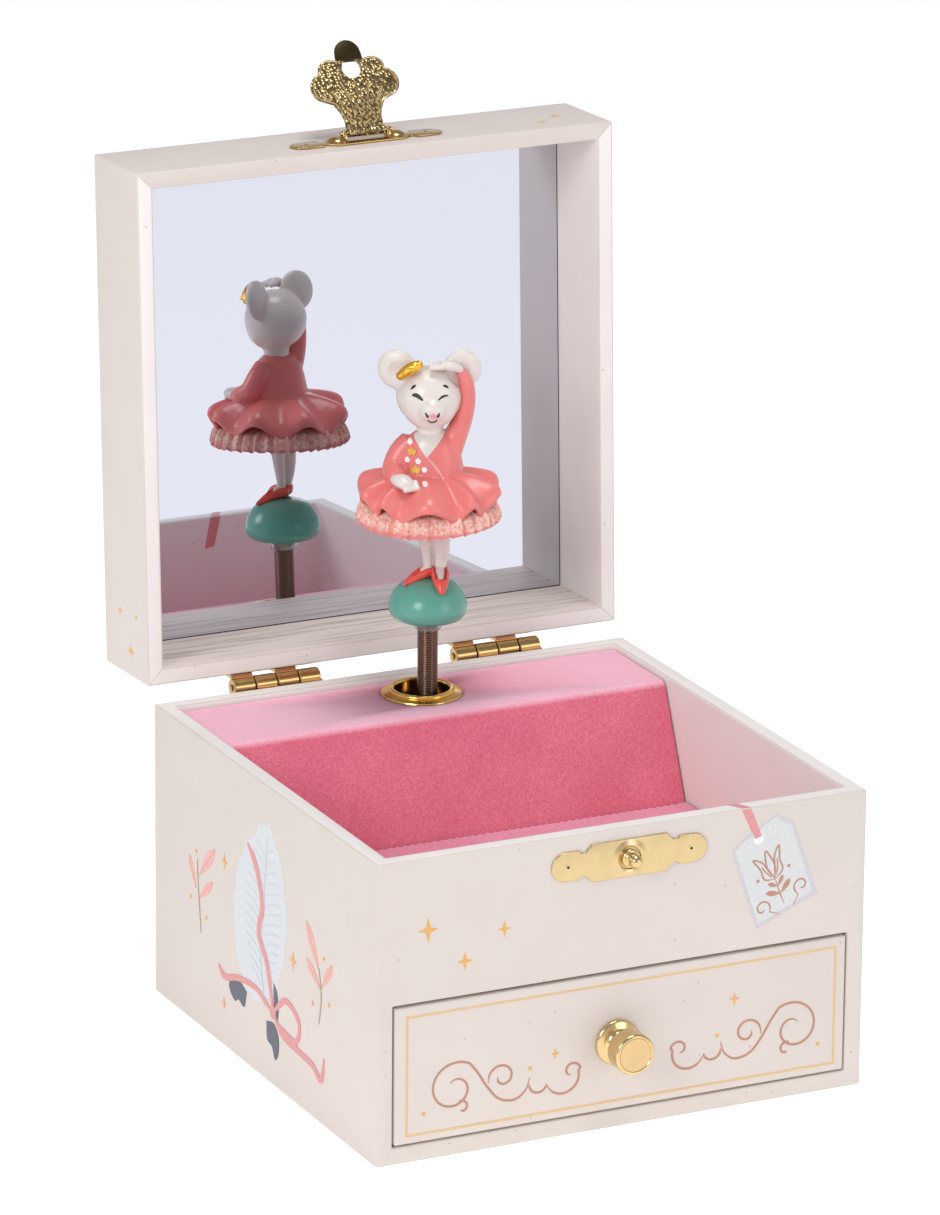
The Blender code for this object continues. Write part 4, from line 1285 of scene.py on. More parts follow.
        # The thumb tab is coloured dark brass as a painted dark reflection on its polished face.
        tab = [(-3.4, 16.9), (-3.3, 18.6)] + arc((0, 19.0), 3.2, 172, 8, 14) + [(3.3, 18.6),
            (3.4, 16.9)]
        thumb = soften(prism("hasp_thumb_tab", tab, place, -0.26, 0.26), 0.12, 2, 30)
        finish_piece(move(thumb, self.sizes.hasp_matrix), DARK_BRASS, "hasp", Slot.BRASS)

    def chevrons(self, place: Place) -> list[Item]:
        """Raised chevrons in two rows at the neck, and fanned ribs above them."""
        made, marks = [], []
        for row, v in enumerate((2.6, 4.6)):
            for k in range(4 + row):
                u = -3.4 + k * 1.9 - row * 0.6
                marks.append(("chevron", [(u, v - 0.8, 0.2), (u + 0.8, v, 0.28),
                    (u, v + 0.8, 0.2)]))
        for k in range(5):
            turn = math.radians(-36 + 18 * k)
            marks.append(("rib", [(math.sin(turn) * far * 0.95, 0.8 + math.cos(turn) * far, 0.26)
                for far in (7.0, 9.3, 11.6)]))
        for name, path in marks:
            for side in (-1, 1):
                made.append(swept(name, [(*place(a, b, side * 0.32), r) for a, b, r in path], 2, 6))
        return made

    def beading(self, half: Sequence[Point2], place: Place) -> list[Item]:
        """A raised rim just inside the shell's edge, on both faces."""
        made = []
        for flip in (-1, 1):
            for side in (-1, 1):
                rim = [(*place(flip * u * 0.95, 0.3 + v * 0.975, side * 0.3), 0.22) for u,
                    v in half[1:]]
                made.append(swept("rim", rim, 2, 6))
        return made


@dataclass
class Drawer:
    """The wrapped drawer front with its printed border and scrolls, and the turned knob."""

    sizes: Sizes
    knob_z: float = 20.3

    def build(self) -> None:
        """Makes the front, the knob and the box behind it."""
        front = soften(block("drawer_front_wrap", *box_mm("drawer_front")), 0.4)
        finish_piece(front, PAPER, "drawer", Slot.PAPER, "drawer_front")
        self.build_knob()
        self.build_box()
        self.print_front()
        LOG.info("built the drawer")

    def build_knob(self) -> None:
        """Flange, waisted neck and a drum head with a shallow turned face."""
        face = -self.sizes.half
        low, high = box_mm("drawer_knob")
        x = (low.x + high.x) / 2

        def place(a: float, b: float, h: float) -> Point3:
            return x + a, face - h, self.knob_z + b

        profile = [(0, -3.0), (1.8, -3.0), (1.8, 0.02), (4.9, 0.02)] + arc((4.65, 0.7), 0.66, -60,
            80, 8) + [(4.2, 1.65)]
        profile += arc((4.2, 3.1), 1.4, -100, -200, 10)[1:] + [(3.0, 4.3), (3.5, 4.7), (4.3, 4.9)]
        profile += arc((4.25, 5.4), 0.5, -60, 0, 5) + [(4.75, 8.8)] + arc((4.05, 8.9),
            0.7, 0, 75, 7)
        profile += [(3.95, 9.6), (3.8, 9.45), (0, 9.4)]
        finish_piece(turned("drawer_knob_turned", profile, place, 72), BRASS, "drawer", Slot.BRASS,
            "drawer_knob")
        disc = [(0, 9.48), (3.3, 9.48), (3.75, 9.52), (3.75, 9.3), (0, 9.3)]
        finish_piece(turned("drawer_knob_face", disc, place, 72), FACE_BRASS, "drawer", Slot.BRASS)

    def build_box(self) -> None:
        """The drawer's thin sides, back and bottom, with eased edges."""
        for node in ("drawer_left_side", "drawer_right_side", "drawer_back", "drawer_bottom"):
            board = soften(block(node + "_wrap", *box_mm(node)), 0.3)
            finish_piece(board, TRAY_PAPER, "drawer", Slot.BOARD, node)

    def print_front(self) -> None:
        """Gold border, copper scrolls either side of the knob, and small stars."""
        face = Face((0, -self.sizes.half, 0), *FRONT, "drawer")
        pen = Printer(face)
        left, right, low, high = -52.6, 53.0, 6.3, 33.9
        corners = [(left, low), (right, low), (right, high), (left, high)]
        width = 0.55
        border = []
        for (a, b), (c, d) in zip(corners, corners[1:] + corners[:1]):
            grow = math.copysign(width / 2, d - b) if a == c else 0.0
            border.append(pen.line([(a, b - grow), (c, d + grow)], width, taper=False))
        pen.keep("drawer_gold_border", border, BORDER_INK)
        inner_end, stretch = -10.2, 1.03
        for name, flip, middle, lift in (("left", 1, 0.0, 0.0), ("right", -1, 1.6, 0.8)):
            strokes = []
            for path in self.scroll():
                spots = [(inner_end + (u - inner_end) * stretch, v) for u, v in path]
                strokes.append([(middle + flip * u, v + lift) for u, v in spots])
            pen.keep(f"drawer_scroll_{name}",
                [pen.line(path, 0.55) for path in strokes], COPPER_INK)
        marks = [pen.star(27.7, 25.6, 3.4), pen.star(-16.6, 19.8, 2.7)]
        marks += [pen.dot(u, v, 0.95) for u,
            v in ((-22.7, 17.3), (23.5, 17.6), (-48.5, 10.9), (49.0, 11.5))]
        pen.keep("drawer_gold_marks", marks, GOLD_INK)

    def scroll(self) -> list[list[Point2]]:
        """The left-hand scroll as pen strokes, outer curl first."""
        curl = spiral((-40.2, 15.6), 6.4, 1.6, 55, 490, 44)
        tail = smooth_path([curl[0], (-34.6, 18.2), (-32.4, 14.6), (-29.6, 11.4), (-26.0, 10.6),
            (-23.4, 12.4), (-22.4, 15.2)], 5)
        main = curl[::-1] + tail[1:]
        inner = spiral((-28.9, 16.4), 3.4, 1.0, 195, -190, 30)
        hook = spiral((-38.4, 10.9), 1.7, 0.7, 120, -120, 14)
        end = spiral((-12.4, 15.1), 2.2, 0.9, 0, 260, 18)
        return [main, inner, hook, arc((-20.4, 13.4), 2.1, 175, 350, 12),
            arc((-14.6, 14.0), 3.9, 200, 372, 16) + end[1:]]


@dataclass
class FrontArt:
    """What is printed on the case's front: stars, and a gift tag hanging on a ribbon."""

    sizes: Sizes

    def build(self) -> None:
        """Prints the front face and the ribbon over the rim."""
        s = self.sizes
        pen = Printer(Face((0, -s.half, 0), *FRONT, "case"))
        stars = [pen.star(-47.7, 53.4, 6.0), pen.star(-29.3, 50.9, 4.0), pen.star(-38.8, 44.9, 4.6)]
        pen.keep("front_gold_stars", stars, GOLD_INK)
        self.print_tag(pen)
        self.print_ribbon(pen)

    def print_tag(self, pen: Printer) -> None:
        """A tag with clipped shoulders, hanging a little askew, with a tulip on it."""
        outline = [(37.1, 67.7), (41.7, 65.3), (48.0, 47.6), (32.9, 41.2), (26.1, 60.3),
            (28.5, 62.6)]
        centre = (sum(u for u, _ in outline) / 6, sum(v for _, v in outline) / 6)
        inner = [(centre[0] + (u - centre[0]) * 0.89, centre[1] + (v - centre[1]) * 0.925) for u,
            v in outline]
        pen.keep("tag_edge", [pen.shape(outline)], TAG_EDGE)
        pen.keep("tag_card", [pen.shape(inner, 0.02)], TAG_INK)
        lean = math.radians(21)
        across, up = Vector((math.cos(lean), math.sin(lean) * 1.15)), Vector((-math.sin(lean),
            math.cos(lean)))
        foot = Vector((39.6, 46.4))

        def at(u: float, v: float) -> Point2:
            spot = foot + (across * u + up * v) * 1.2
            return spot.x, spot.y

        strokes = [pen.line([at(0, 0), at(-0.1, 2.2), at(0, 5.4)], 0.4, 0.04)]
        for side in (-1, 1):
            strokes.append(pen.leaf(at(0, 2.2), at(side * 2.7, 3.8), 1.3, 0.04))
            strokes.append(pen.leaf(at(0, 3.8), at(side * 1.7, 5.3), 1.0, 0.04))
            petal = [at(0, 5.4), at(side * 2.0, 6.4), at(side * 2.1, 8.6), at(side * 2.9, 11.2),
                at(side * 1.4, 9.8), at(side * 0.8, 8.0), at(0, 5.8)]
            path = smooth_path(petal, 4)
            strokes.append(pen.line(path, 0.4, 0.04))
            strokes.append(pen.line(smooth_path([at(side * 0.5, 6.0), at(side * 1.3, 7.6),
                at(side * 1.7, 9.0)], 4), 0.34, 0.04))
            curl = [at(side * (4.3 + a), 0.8 + b) for a,
                b in spiral((0, 0.6), 1.7, 0.5, 230, -130, 20)]
            strokes.append(pen.line([at(side * 1.6, -1.4)] + curl, 0.4, 0.04))
        middle = [at(0, 5.6), at(-0.8, 8.2), at(0, 11.6), at(0.8, 8.2), at(0, 5.6)]
        strokes.append(pen.line(smooth_path(middle, 4), 0.4, 0.04))
        strokes += [pen.shape(arc(at(side * 3.3, 6.6 - side * 0.3), 0.42, 0, 315, 8), 0.04)
            for side in (-1, 1)]
        pen.keep("tag_tulip", strokes, COPPER_INK)
        hole = pen.shape(arc((32.9, 62.4), 1.25, 0, 345, 20), 0.03)
        pen.keep("tag_hole_ring", [hole], TAG_RING)

    def print_ribbon(self, pen: Printer) -> None:
        """The tag's ribbon, over the front's top edge and down inside."""
        s = self.sizes
        top = s.height - 0.25
        outside = pen.shape([(28.7, top), (30.9, top), (33.7, 63.0), (32.0, 62.6)], 0.04)
        pen.keep("tag_ribbon_front", [outside], RIBBON_INK)
        rim = Printer(Face((0, -s.half, s.height), (1, 0, 0), (0, 1, 0), (0, 0, 1), "case"))
        over = rim.shape([(28.9, 0.3), (31.0, 0.3), (29.2, s.wall - 0.3), (26.9, s.wall - 0.3)])
        rim.keep("tag_ribbon_rim", [over], RIBBON_INK)
        inner = Printer(Face((0, -s.half + s.wall, 0), (1, 0, 0), (0, 0, 1), (0, 1, 0), "case"))
        down = inner.shape([(26.7, top), (29.5, top), (27.5, 62.2), (24.8, 61.8)])
        inner.keep("tag_ribbon_inside", [down], RIBBON_INK)


@dataclass
class SideArt:
    """What is printed on the left side: a white plume tied with a ribbon, and two sprigs."""

    sizes: Sizes

    def build(self) -> None:
        """Prints the left face and the lid's small stars."""
        s = self.sizes
        pen = Printer(Face((-s.half, 0, 0), *LEFT, "case"))
        self.print_plume(pen)
        self.print_bow(pen)
        back_leaves = [((-36.3, 33.1), (-40.2, 39.9), 2.0), ((-34.6, 36.6), (-25.6, 45.8), 3.0),
            ((-34.6, 31.2), (-27.0, 37.3), 2.4)]
        back_dots = [(-36.2, 42.0), (-39.4, 30.1), (-30.7, 27.7)]
        self.print_sprig(pen, "back", [(-33.6, 23.1), (-34.5, 30.0), (-35.3, 36.0), (-35.4, 40.6)],
            back_leaves, back_dots)
        front_leaves = [((30.5, 35.9), (23.7, 45.3), 3.0), ((31.6, 31.6), (24.0, 36.6), 2.3),
            ((31.9, 32.3), (37.6, 39.5), 2.4)]
        front_dots = [(27.2, 27.1), (35.8, 29.6), (32.9, 39.4)]
        self.print_sprig(pen, "front", [(30.4, 23.2), (31.5, 28.0), (31.6, 31.6), (30.5, 36.5)],
            front_leaves, front_dots)
        marks = [pen.star(-20.4, 44.6, 3.8), pen.star(16.8, 33.4, 4.4), pen.star(-20.8, 10.4, 2.8)]
        pen.keep("side_gold_stars", marks, GOLD_INK)
        self.print_lid_stars()

    def print_plume(self, pen: Printer) -> None:
        """A broad feather with an off-centre peak, soft-edged, with a pale quill and barbs."""
        edge = [(3.7, 61.3), (8.0, 57.6), (11.6, 50.6), (13.3, 43.0), (12.6, 34.6), (10.8, 29.0),
            (8.5, 24.8), (4.0, 20.2), (-3.1, 17.2)]
        edge += [(-8.4, 18.4), (-11.9, 21.4), (-14.2, 27.0), (-15.2, 33.5), (-14.4, 41.0),
            (-12.0, 47.6), (-9.1, 52.2), (-4.6, 56.0), (-0.6, 60.0)]
        path = smooth_path([*edge, edge[0]], 5)[:-1]
        outline = []
        for k, spot in enumerate(path):
            ruffle = 1 + 0.018 * math.sin(k * 1.9) + 0.014 * math.sin(k * 0.83 + 1)
            outline.append((spot.x * ruffle, 38.0 + (spot.y - 38.0) * ruffle))
        pen.keep("plume_vane", [pen.shape(outline)], PLUME_INK)
        barbs = []
        for k in range(14):
            z = 53.0 - 2.4 * k
            foot = 1.6 - 0.15 * k
            for side in (-1, 1):
                reach = 10.0 * math.sin(math.pi * (0.14 + 0.055 * k)) ** 0.8
                path = [(foot, z), (foot + side * reach * 0.55, z + 2.2),
                    (foot + side * reach, z + 3.0)]
                barbs.append(pen.line(smooth_path(path, 4), 0.24, 0.02))
        quill = smooth_path([(3.0, 58.0), (1.4, 44.0), (-0.6, 30.0), (1.6, 17.5)], 8)
        barbs.append(pen.line(quill, 0.5, 0.03))
        pen.keep("plume_barbs", barbs, PLUME_LINE)

    def print_bow(self, pen: Printer) -> None:
        """A pink ribbon down the plume, a bow at its foot, long tails and slate leaves."""
        band = [(-7.7, 53.2), (-3.1, 49.4), (0.4, 41.1), (-1.5, 33.9), (3.1, 27.7), (6.1, 18.0)]
        tail = [(6.1, 17.8), (11.2, 13.9), (20.6, 13.0), (27.2, 12.4), (31.7, 10.5), (33.3, 16.0)]
        right_loop = [(6.1, 17.6), (13.0, 22.6), (20.0, 19.9), (18.0, 14.6), (9.0, 15.6)]
        left_tail = [(5.6, 17.4), (-3.0, 20.2), (-12.7, 19.3), (-20.2, 17.1), (-23.8, 18.9)]
        strips = []
        for path, width in ((band, 2.1), (tail, 1.6), (right_loop, 1.5), (left_tail, 1.5)):
            strips.append(pen.line(smooth_path(path, 8), width, 0.05))
        strips.append(pen.shape(arc((6.1, 17.6), 1.7, 0, 330, 12), 0.06))
        pen.keep("plume_ribbon", strips, RIBBON_INK)
        leaves = [
            [(-8.3, 17.4), (-12.4, 18.8), (-16.6, 18.2), (-17.8, 15.4), (-14.8, 13.2),
                (-12.6, 14.2), (-9.6, 13.4)],
            [(6.4, 24.8), (8.2, 23.0), (9.0, 18.6), (7.9, 15.0), (6.7, 18.4)],
            [(2.6, 14.4), (6.4, 15.0), (9.0, 12.6), (9.0, 8.6), (7.2, 6.6), (5.6, 9.2),
                (3.0, 10.2)],
        ]
        shapes = [pen.shape(smooth_path([*leaf, leaf[0]], 4)[:-1], 0.01) for leaf in leaves]
        pen.keep("plume_slate_leaves", shapes, SLATE_INK)

    def print_sprig(self, pen: Printer, name: str, stem: Sequence[Point2],
                    leaves: Sequence[tuple[Point2, Point2, float]], dots: Sequence[Point2]) -> None:
        """A thin stem with slender pink leaves and gold dots round it.

        Args:
            pen: the printer of its face.
            name: what the sprig is called.
            stem: points up the stem.
            leaves: foot, tip and width of each leaf.
            dots: where the dots are.
        """
        path = smooth_path(stem, 6)
        veins = [pen.line([foot, tip], 0.3, 0.03) for foot, tip, _ in leaves]
        pen.keep(f"sprig_{name}_stem", [pen.line(path, 0.45), *veins], STEM_INK)
        pen.keep(f"sprig_{name}_leaves",
            [pen.leaf(foot, tip, width, 0.0) for foot, tip, width in leaves], PINK_INK)
        pen.keep(f"sprig_{name}_dots", [pen.dot(u, v, 1.0) for u, v in dots], GOLD_INK)

    def print_lid_stars(self) -> None:
        """Small stars near the clasp and low on the lid's left side."""
        s = self.sizes
        front = Printer(Face((0, -s.half, Lid.mouth), *FRONT, "lid", s.lid_matrix))
        marks = [front.star(50.9, 11.7, 3.8), front.star(45.2, 7.1, 3.2)]
        front.keep("lid_front_stars", marks, GOLD_INK)
        side = Printer(Face((-s.half, 0, Lid.mouth), *LEFT, "lid", s.lid_matrix))
        marks = [side.star(-45.5, 15.2, 2.8), side.star(-53.9, 9.3, 4.0), side.dot(-44.9, 5.9, 1.1)]
        side.keep("lid_side_stars", marks, GOLD_INK)


@dataclass
class SpringPost:
    """The close-wound spring that carries the dancer, and the clear collar on its end."""

    sizes: Sizes
    radius: float = 2.4
    wire: float = 0.2
    foot: float = 61.2
    head: float = 86.6

    def build(self) -> None:
        """Winds the spring as a straight coil and moulds the collar; the real spring bends between
        the case and its arm.
        """
        x, y = self.sizes.post
        pitch = 2 * self.wire * 1.04
        turns = int((self.head - self.foot) / pitch)
        per_turn, sides = 20, 6
        coil = self.radius - self.wire
        bm = bmesh.new()
        rings = []
        for k in range(turns * per_turn + 1):
            turn = 2 * math.pi * k / per_turn
            out = Vector((math.cos(turn), math.sin(turn), 0))
            centre = Vector((x, y, self.foot + pitch * k / per_turn)) + out * coil
            ways = [2 * math.pi * m / sides for m in range(sides)]
            rings.append([bm.verts.new(centre
                + self.wire * (math.cos(w) * out + math.sin(w) * Vector((0, 0, 1)))) for w in ways])
        for low, high in zip(rings, rings[1:]):
            for m in range(sides):
                n = (m + 1) % sides
                bm.faces.new((low[m], low[n], high[n], high[m]))
        bm.faces.new(rings[0])
        bm.faces.new(rings[-1])
        spring = to_object("pop_up_spring_wound", bm, 60.0)
        spring.data.materials.append(SPRING_STEEL.make())
        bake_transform(spring)
        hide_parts("pop_up_spring")
        collar = [(2.6, 84.4), (3.0, 84.4), (3.2, 84.7), (3.4, 86.7), (2.6, 86.7)]
        item = turned("figure_collar_moulded", collar, lambda a, b, h: (x + a, y + b, h), 48)
        finish_piece(item, CLEAR, "spring_arm", Slot.CLEAR, "figure_collar")
        LOG.info("wound the spring, %d turns", turns)


class Studio:
    """Camera, soft light and a pale floor."""

    azimuth = -26.0
    elevation = 17.84
    roll = 0.51
    lens = 218.8
    spot: Point3 = (-696.83, -1410.11, 608.89)

    def build(self) -> None:
        """Sets the camera and the light, and lays the floor."""
        self.set_camera()
        self.set_light()
        self.lay_floor()

    def set_camera(self) -> None:
        """A long lens, a little above and to the left of the front."""
        a, e, r = (math.radians(v) for v in (self.azimuth, self.elevation, self.roll))
        back = Vector((math.sin(a) * math.cos(e), -math.cos(a) * math.cos(e), math.sin(e)))
        level = Vector((math.cos(a), math.sin(a), 0))
        upright = back.cross(level)
        right = level * math.cos(r) + upright * math.sin(r)
        up = back.cross(right)
        data = bpy.data.cameras.new("camera")
        data.lens = self.lens
        data.sensor_width = 36.0
        camera = bpy.data.objects.new("camera", data)
        bpy.context.scene.collection.objects.link(camera)
        turn = Matrix((right, up, back)).transposed().to_4x4()
        camera.matrix_world = Matrix.Translation(Vector(self.spot) * MM) @ turn
        bpy.context.scene.camera = camera

    def set_light(self) -> None:
        """An even sky with a broad key from the left and a weaker fill from the right."""
        scene = bpy.context.scene
        scene.view_settings.view_transform = "Standard"
        world = bpy.data.worlds.new("sky")
        scene.world = world
        world.use_nodes = True
        sky = world.node_tree.nodes["Background"]
        sky.inputs["Color"].default_value = to_linear("f2f2fc")
        aim = add_node(world.node_tree, "ShaderNodeTexCoord").outputs["Generated"]
        height = add_node(world.node_tree, "ShaderNodeSeparateXYZ", {}, {0: aim}).outputs[2]
        world.node_tree.links.new(span(world.node_tree, height, (0.1, 0.8), (0.8, 0.4)),
            sky.inputs["Strength"])
        seen = add_node(world.node_tree, "ShaderNodeBackground", {0: to_linear("ffffff"), 1: 1.0})
        ray = add_node(world.node_tree, "ShaderNodeLightPath")
        mixed = add_node(world.node_tree, "ShaderNodeMixShader", {},
            {0: ray.outputs["Is Camera Ray"], 1: sky.outputs[0], 2: seen.outputs[0]})
        world.node_tree.links.new(mixed.outputs[0], world.node_tree.nodes["World Output"].inputs[0])
        lights = (("key", (-1.5, -0.9, 1.0), 0.8, 11.0), ("fill", (0.9, -1.6, 0.6), 0.8, 3.2),
            ("top", (0.1, -0.1, 1.6), 0.7, 9.0))
        for name, place, size, power in lights:
            data = bpy.data.lights.new(name, "AREA")
            data.shape = "DISK"
            data.size = size
            data.energy = power
            lamp = bpy.data.objects.new(name, data)
            lamp.location = place
            lamp.rotation_mode = "QUATERNION"
            lamp.rotation_quaternion = (Vector(place) - Vector((0, 0, 0.08))).to_track_quat("Z",
                "Y")
            scene.collection.objects.link(lamp)

    def lay_floor(self) -> None:
        """A wide matt white sheet."""
        bm = bmesh.new()
        bmesh.ops.create_grid(bm, x_segments=1, y_segments=1, size=6000.0)
        floor = to_object("floor", bm)
        material = bpy.data.materials.new("floor_sheet")
        material.use_nodes = True
        shader = material.node_tree.nodes["Principled BSDF"]
        shader.inputs["Base Color"].default_value = to_linear("fafafa")
        shader.inputs["Roughness"].default_value = 0.9
        shader.inputs["Emission Color"].default_value = (1, 1, 1, 1)
        shader.inputs["Emission Strength"].default_value = 0.38
        floor.data.materials.append(material)


# ---------------------------------------------------------------- the dancer


@dataclass
class Dancer:
    """A mouse dancer cast in resin on a jade dome. It is drawn looking along -Y, then turned."""

    sizes: Sizes
    facing: float = -25.6
    skirt_reach: float = 17.3
    frill_reach: float = 16.9
    chest: float = 0.8
    folds: tuple[float, ...] = (15, 38, 52, 62, 90, 116, 129, 141, 153, 176, 200, 222, 245, 268,
        292, 315, 338, 357)

    @property
    def centre(self) -> Vector:
        """The axis that the dancer turns about."""
        return Vector((*self.sizes.post, 0.0))

    @property
    def turn(self) -> Matrix:
        """Turns a casting drawn along -Y to face its way."""
        return about([v * MM for v in self.centre], self.facing, "Z")

    def build(self) -> None:
        """Makes every casting and its painted marks."""
        self.build_dome()
        self.build_legs()
        self.build_frill()
        self.build_dress()
        self.build_head()
        LOG.info("painted the dancer")

    def at(self, u: float, f: float, z: float) -> Point3:
        """A point `u` to the dancer's left hand side as seen and `f` to the front."""
        return self.centre.x + u, self.centre.y - f, z

    def keep(self, item: Item, finish: Finish, slot: Slot, *nodes: str) -> Item:
        """Turns a casting to face its way and hands it over."""
        move(item, self.turn)
        return finish_piece(item, finish, "figure", slot, *nodes)

    def limb(self, name: str, points: Sequence[tuple[float, float, float, float]], sides: int = 18,
            flat: float = 1.0) -> Item:
        """A limb through (u, f, z, radius) points."""
        return swept(name, [(*self.at(u, f, z), r) for u, f, z, r in points], 6, sides, flat)

    def build_dome(self) -> None:
        """A domed base with a tucked-in lower edge."""
        profile = [(0, 86.95), (6.8, 86.95), (7.8, 87.3), (8.6, 88.1), (9.0, 89.2), (9.0, 90.3),
            (8.6, 91.9), (7.8, 93.5), (6.5, 95.0), (4.7, 96.1), (2.5, 96.7), (0, 96.8)]
        path = smooth_path(profile[1:], 3)
        path[-1] = (0, path[-1][1])
        dome = turned("figure_dome_cast", [profile[0], *path],
            lambda a, b, h: self.at(a, b, h), 72, 60)
        self.keep(dome, JADE, Slot.JADE, "figure_dome")

    def build_legs(self) -> None:
        """Two slim legs and pointed slippers, one turned out and one to the front."""
        left = self.limb("leg", [(0.1, 0.0, 97.6, 1.15), (-0.1, 0.0, 99.5, 1.0),
            (-0.5, 0.0, 104.0, 1.35), (-1.4, 0.0, 112.2, 2.1)])
        right = self.limb("leg", [(2.7, 1.6, 97.0, 1.3), (2.8, 1.0, 99.0, 1.2),
            (3.1, 0.5, 104.0, 1.9), (2.6, 0.0, 112.2, 2.3)])
        feet = [self.limb("foot", [(2.7, 1.2, 98.6, 1.3), (2.8, 3.2, 98.3, 1.15),
            (2.95, 4.9, 97.4, 0.75)])]
        feet.append(self.limb("foot", [(0.5, 0.2, 98.8, 1.2), (-1.4, 1.0, 98.4, 0.95)]))
        hips = ball("hips", self.at(0.8, 0, 113.0), (4.6, 4.0, 2.6))
        legs = sculpt(join("figure_legs_cast", [left, right, *feet, hips]), 0.3, 3)
        self.keep(legs, SKIN, Slot.CREAM, "figure_legs")
        turned_out = [(1.0, -0.4, 98.4, 1.7), (-1.2, 0.8, 98.0, 1.7), (-3.6, 2.0, 96.9, 1.2),
            (-5.6, 3.2, 95.8, 0.5)]
        forward = [(2.7, 0.3, 98.6, 1.9), (2.8, 3.0, 98.0, 2.1), (3.0, 5.4, 96.6, 1.6),
            (3.2, 7.3, 95.0, 0.6)]
        for name, path in (("left", turned_out), ("right", forward)):
            shoe = self.limb(f"slipper_{name}", path, 20, 0.85)
            hollow = self.limb("hollow", [(u, f, z + 1.3, r * 0.7) for u, f, z, r in path[:3]], 16)
            carve(shoe, hollow)
            self.keep(shoe, SHOE_RED, Slot.CORAL)

    def flare(self, name: str, rings: Sequence[Point2], hem: Callable[[float], Point2],
            thick: float, steps: int) -> Item:
        """A flared skirt of revolution whose hem moves with the angle.

        Args:
            name: the new object's name.
            rings: (share of the way to the hem, height drop curve) pairs from waist to hem.
            hem: radius and height of the hem at an angle.
            thick: thickness in millimetres.
            steps: sides round the skirt.

        Returns:
            The closed skirt.
        """
        waist_r, waist_z = rings[0]
        bm = bmesh.new()
        layers = []
        for below in (0.0, thick):
            for share, drop in rings[1:] if below == 0.0 else rings[:0:-1]:
                ring = []
                for k in range(steps):
                    turn = 2 * math.pi * k / steps
                    reach, z = hem(turn)
                    r = waist_r + (reach - waist_r) * share
                    h = waist_z + (z - waist_z) * drop - below * (1.0 if share < 1 else 0.35)
                    ring.append(bm.verts.new(self.at(r * math.cos(turn), r * math.sin(turn), h)))
                layers.append(ring)
        for low, high in zip(layers, layers[1:] + layers[:1]):
            close_band(bm, low, high)
        return to_object(name, bm, 60.0)

    def build_frill(self) -> None:
        """The petticoat: a gathered frill whose hem is crimped all round."""
        def hem(turn: float) -> Point2:
            crimp = math.cos(40 * turn + 1.5 * math.sin(3 * turn)) + 0.5 * math.cos(63 * turn + 1.0)
            height = 111.2 + 0.25 * crimp + 0.35 * math.sin(2 * turn + 0.6)
            return self.frill_reach - 0.5 + 0.32 * crimp, height

        rings = [(5.2, 117.0), (0.02, 0.02), (0.35, 0.1), (0.7, 0.22), (0.88, 0.38), (0.95, 0.6),
            (0.985, 0.82), (1.0, 1.0)]
        frill = self.flare("figure_petticoat_cast", rings, hem, 1.0, 480)
        self.keep(frill, FRILL, Slot.FRILL, "figure_petticoat")

    def build_dress(self) -> None:
        """Skirt, bodice and sleeves in one casting, with the skin, hands and painted trim on it."""
        skirt = self.build_skirt()
        torso = [(0.3, 0.0, 117.5, 7.6), (0.3, 0.0, 121.0, 7.9), (0.4, 0.0, 125.0, 7.2),
            (0.4, 0.0, 129.0, 6.0), (0.4, -0.2, 131.2, 4.2)]
        bodice = self.limb("bodice", torso, 28)
        middle = Matrix.Translation((0, self.centre.y * MM, 0))
        move(bodice, middle @ Matrix.Diagonal((1.0, self.chest, 1.0, 1.0)) @ middle.inverted())
        raised = [(4.4, 0.2, 127.0, 3.2), (6.2, -0.2, 131.0, 2.7), (7.8, 0.0, 135.0, 2.2),
            (8.6, 0.6, 139.0, 1.95), (8.4, 1.2, 143.0, 1.75), (7.2, 1.8, 146.2, 1.2)]
        lowered = [(-4.0, 0.2, 129.2, 2.8), (-6.2, 0.6, 126.8, 2.9), (-7.8, 1.8, 123.9, 2.7),
            (-7.9, 4.2, 122.6, 2.5), (-6.8, 6.4, 122.2, 2.2)]
        sleeves = [self.limb("sleeve", raised), self.limb("sleeve", lowered)]
        dress = sculpt(join("figure_dress_cast", [skirt, bodice, *sleeves]), 0.3, 3)
        self.paint_dress(dress)
        self.build_hands()
        self.keep(dress, CORAL, Slot.CORAL, "figure_dress")

    def fold(self, turn: float) -> float:
        """How far the skirt swells at an angle: 1 on a ridge and -1 in a valley, turn about."""
        degrees = (math.degrees(turn) - self.folds[0]) % 360
        marks = [f - self.folds[0] for f in self.folds] + [360.0]
        place = max(k for k, mark in enumerate(marks[:-1]) if mark <= degrees)
        share = (degrees - marks[place]) / (marks[place + 1] - marks[place])
        return (1 if place % 2 == 0 else -1) * math.cos(math.pi * share)

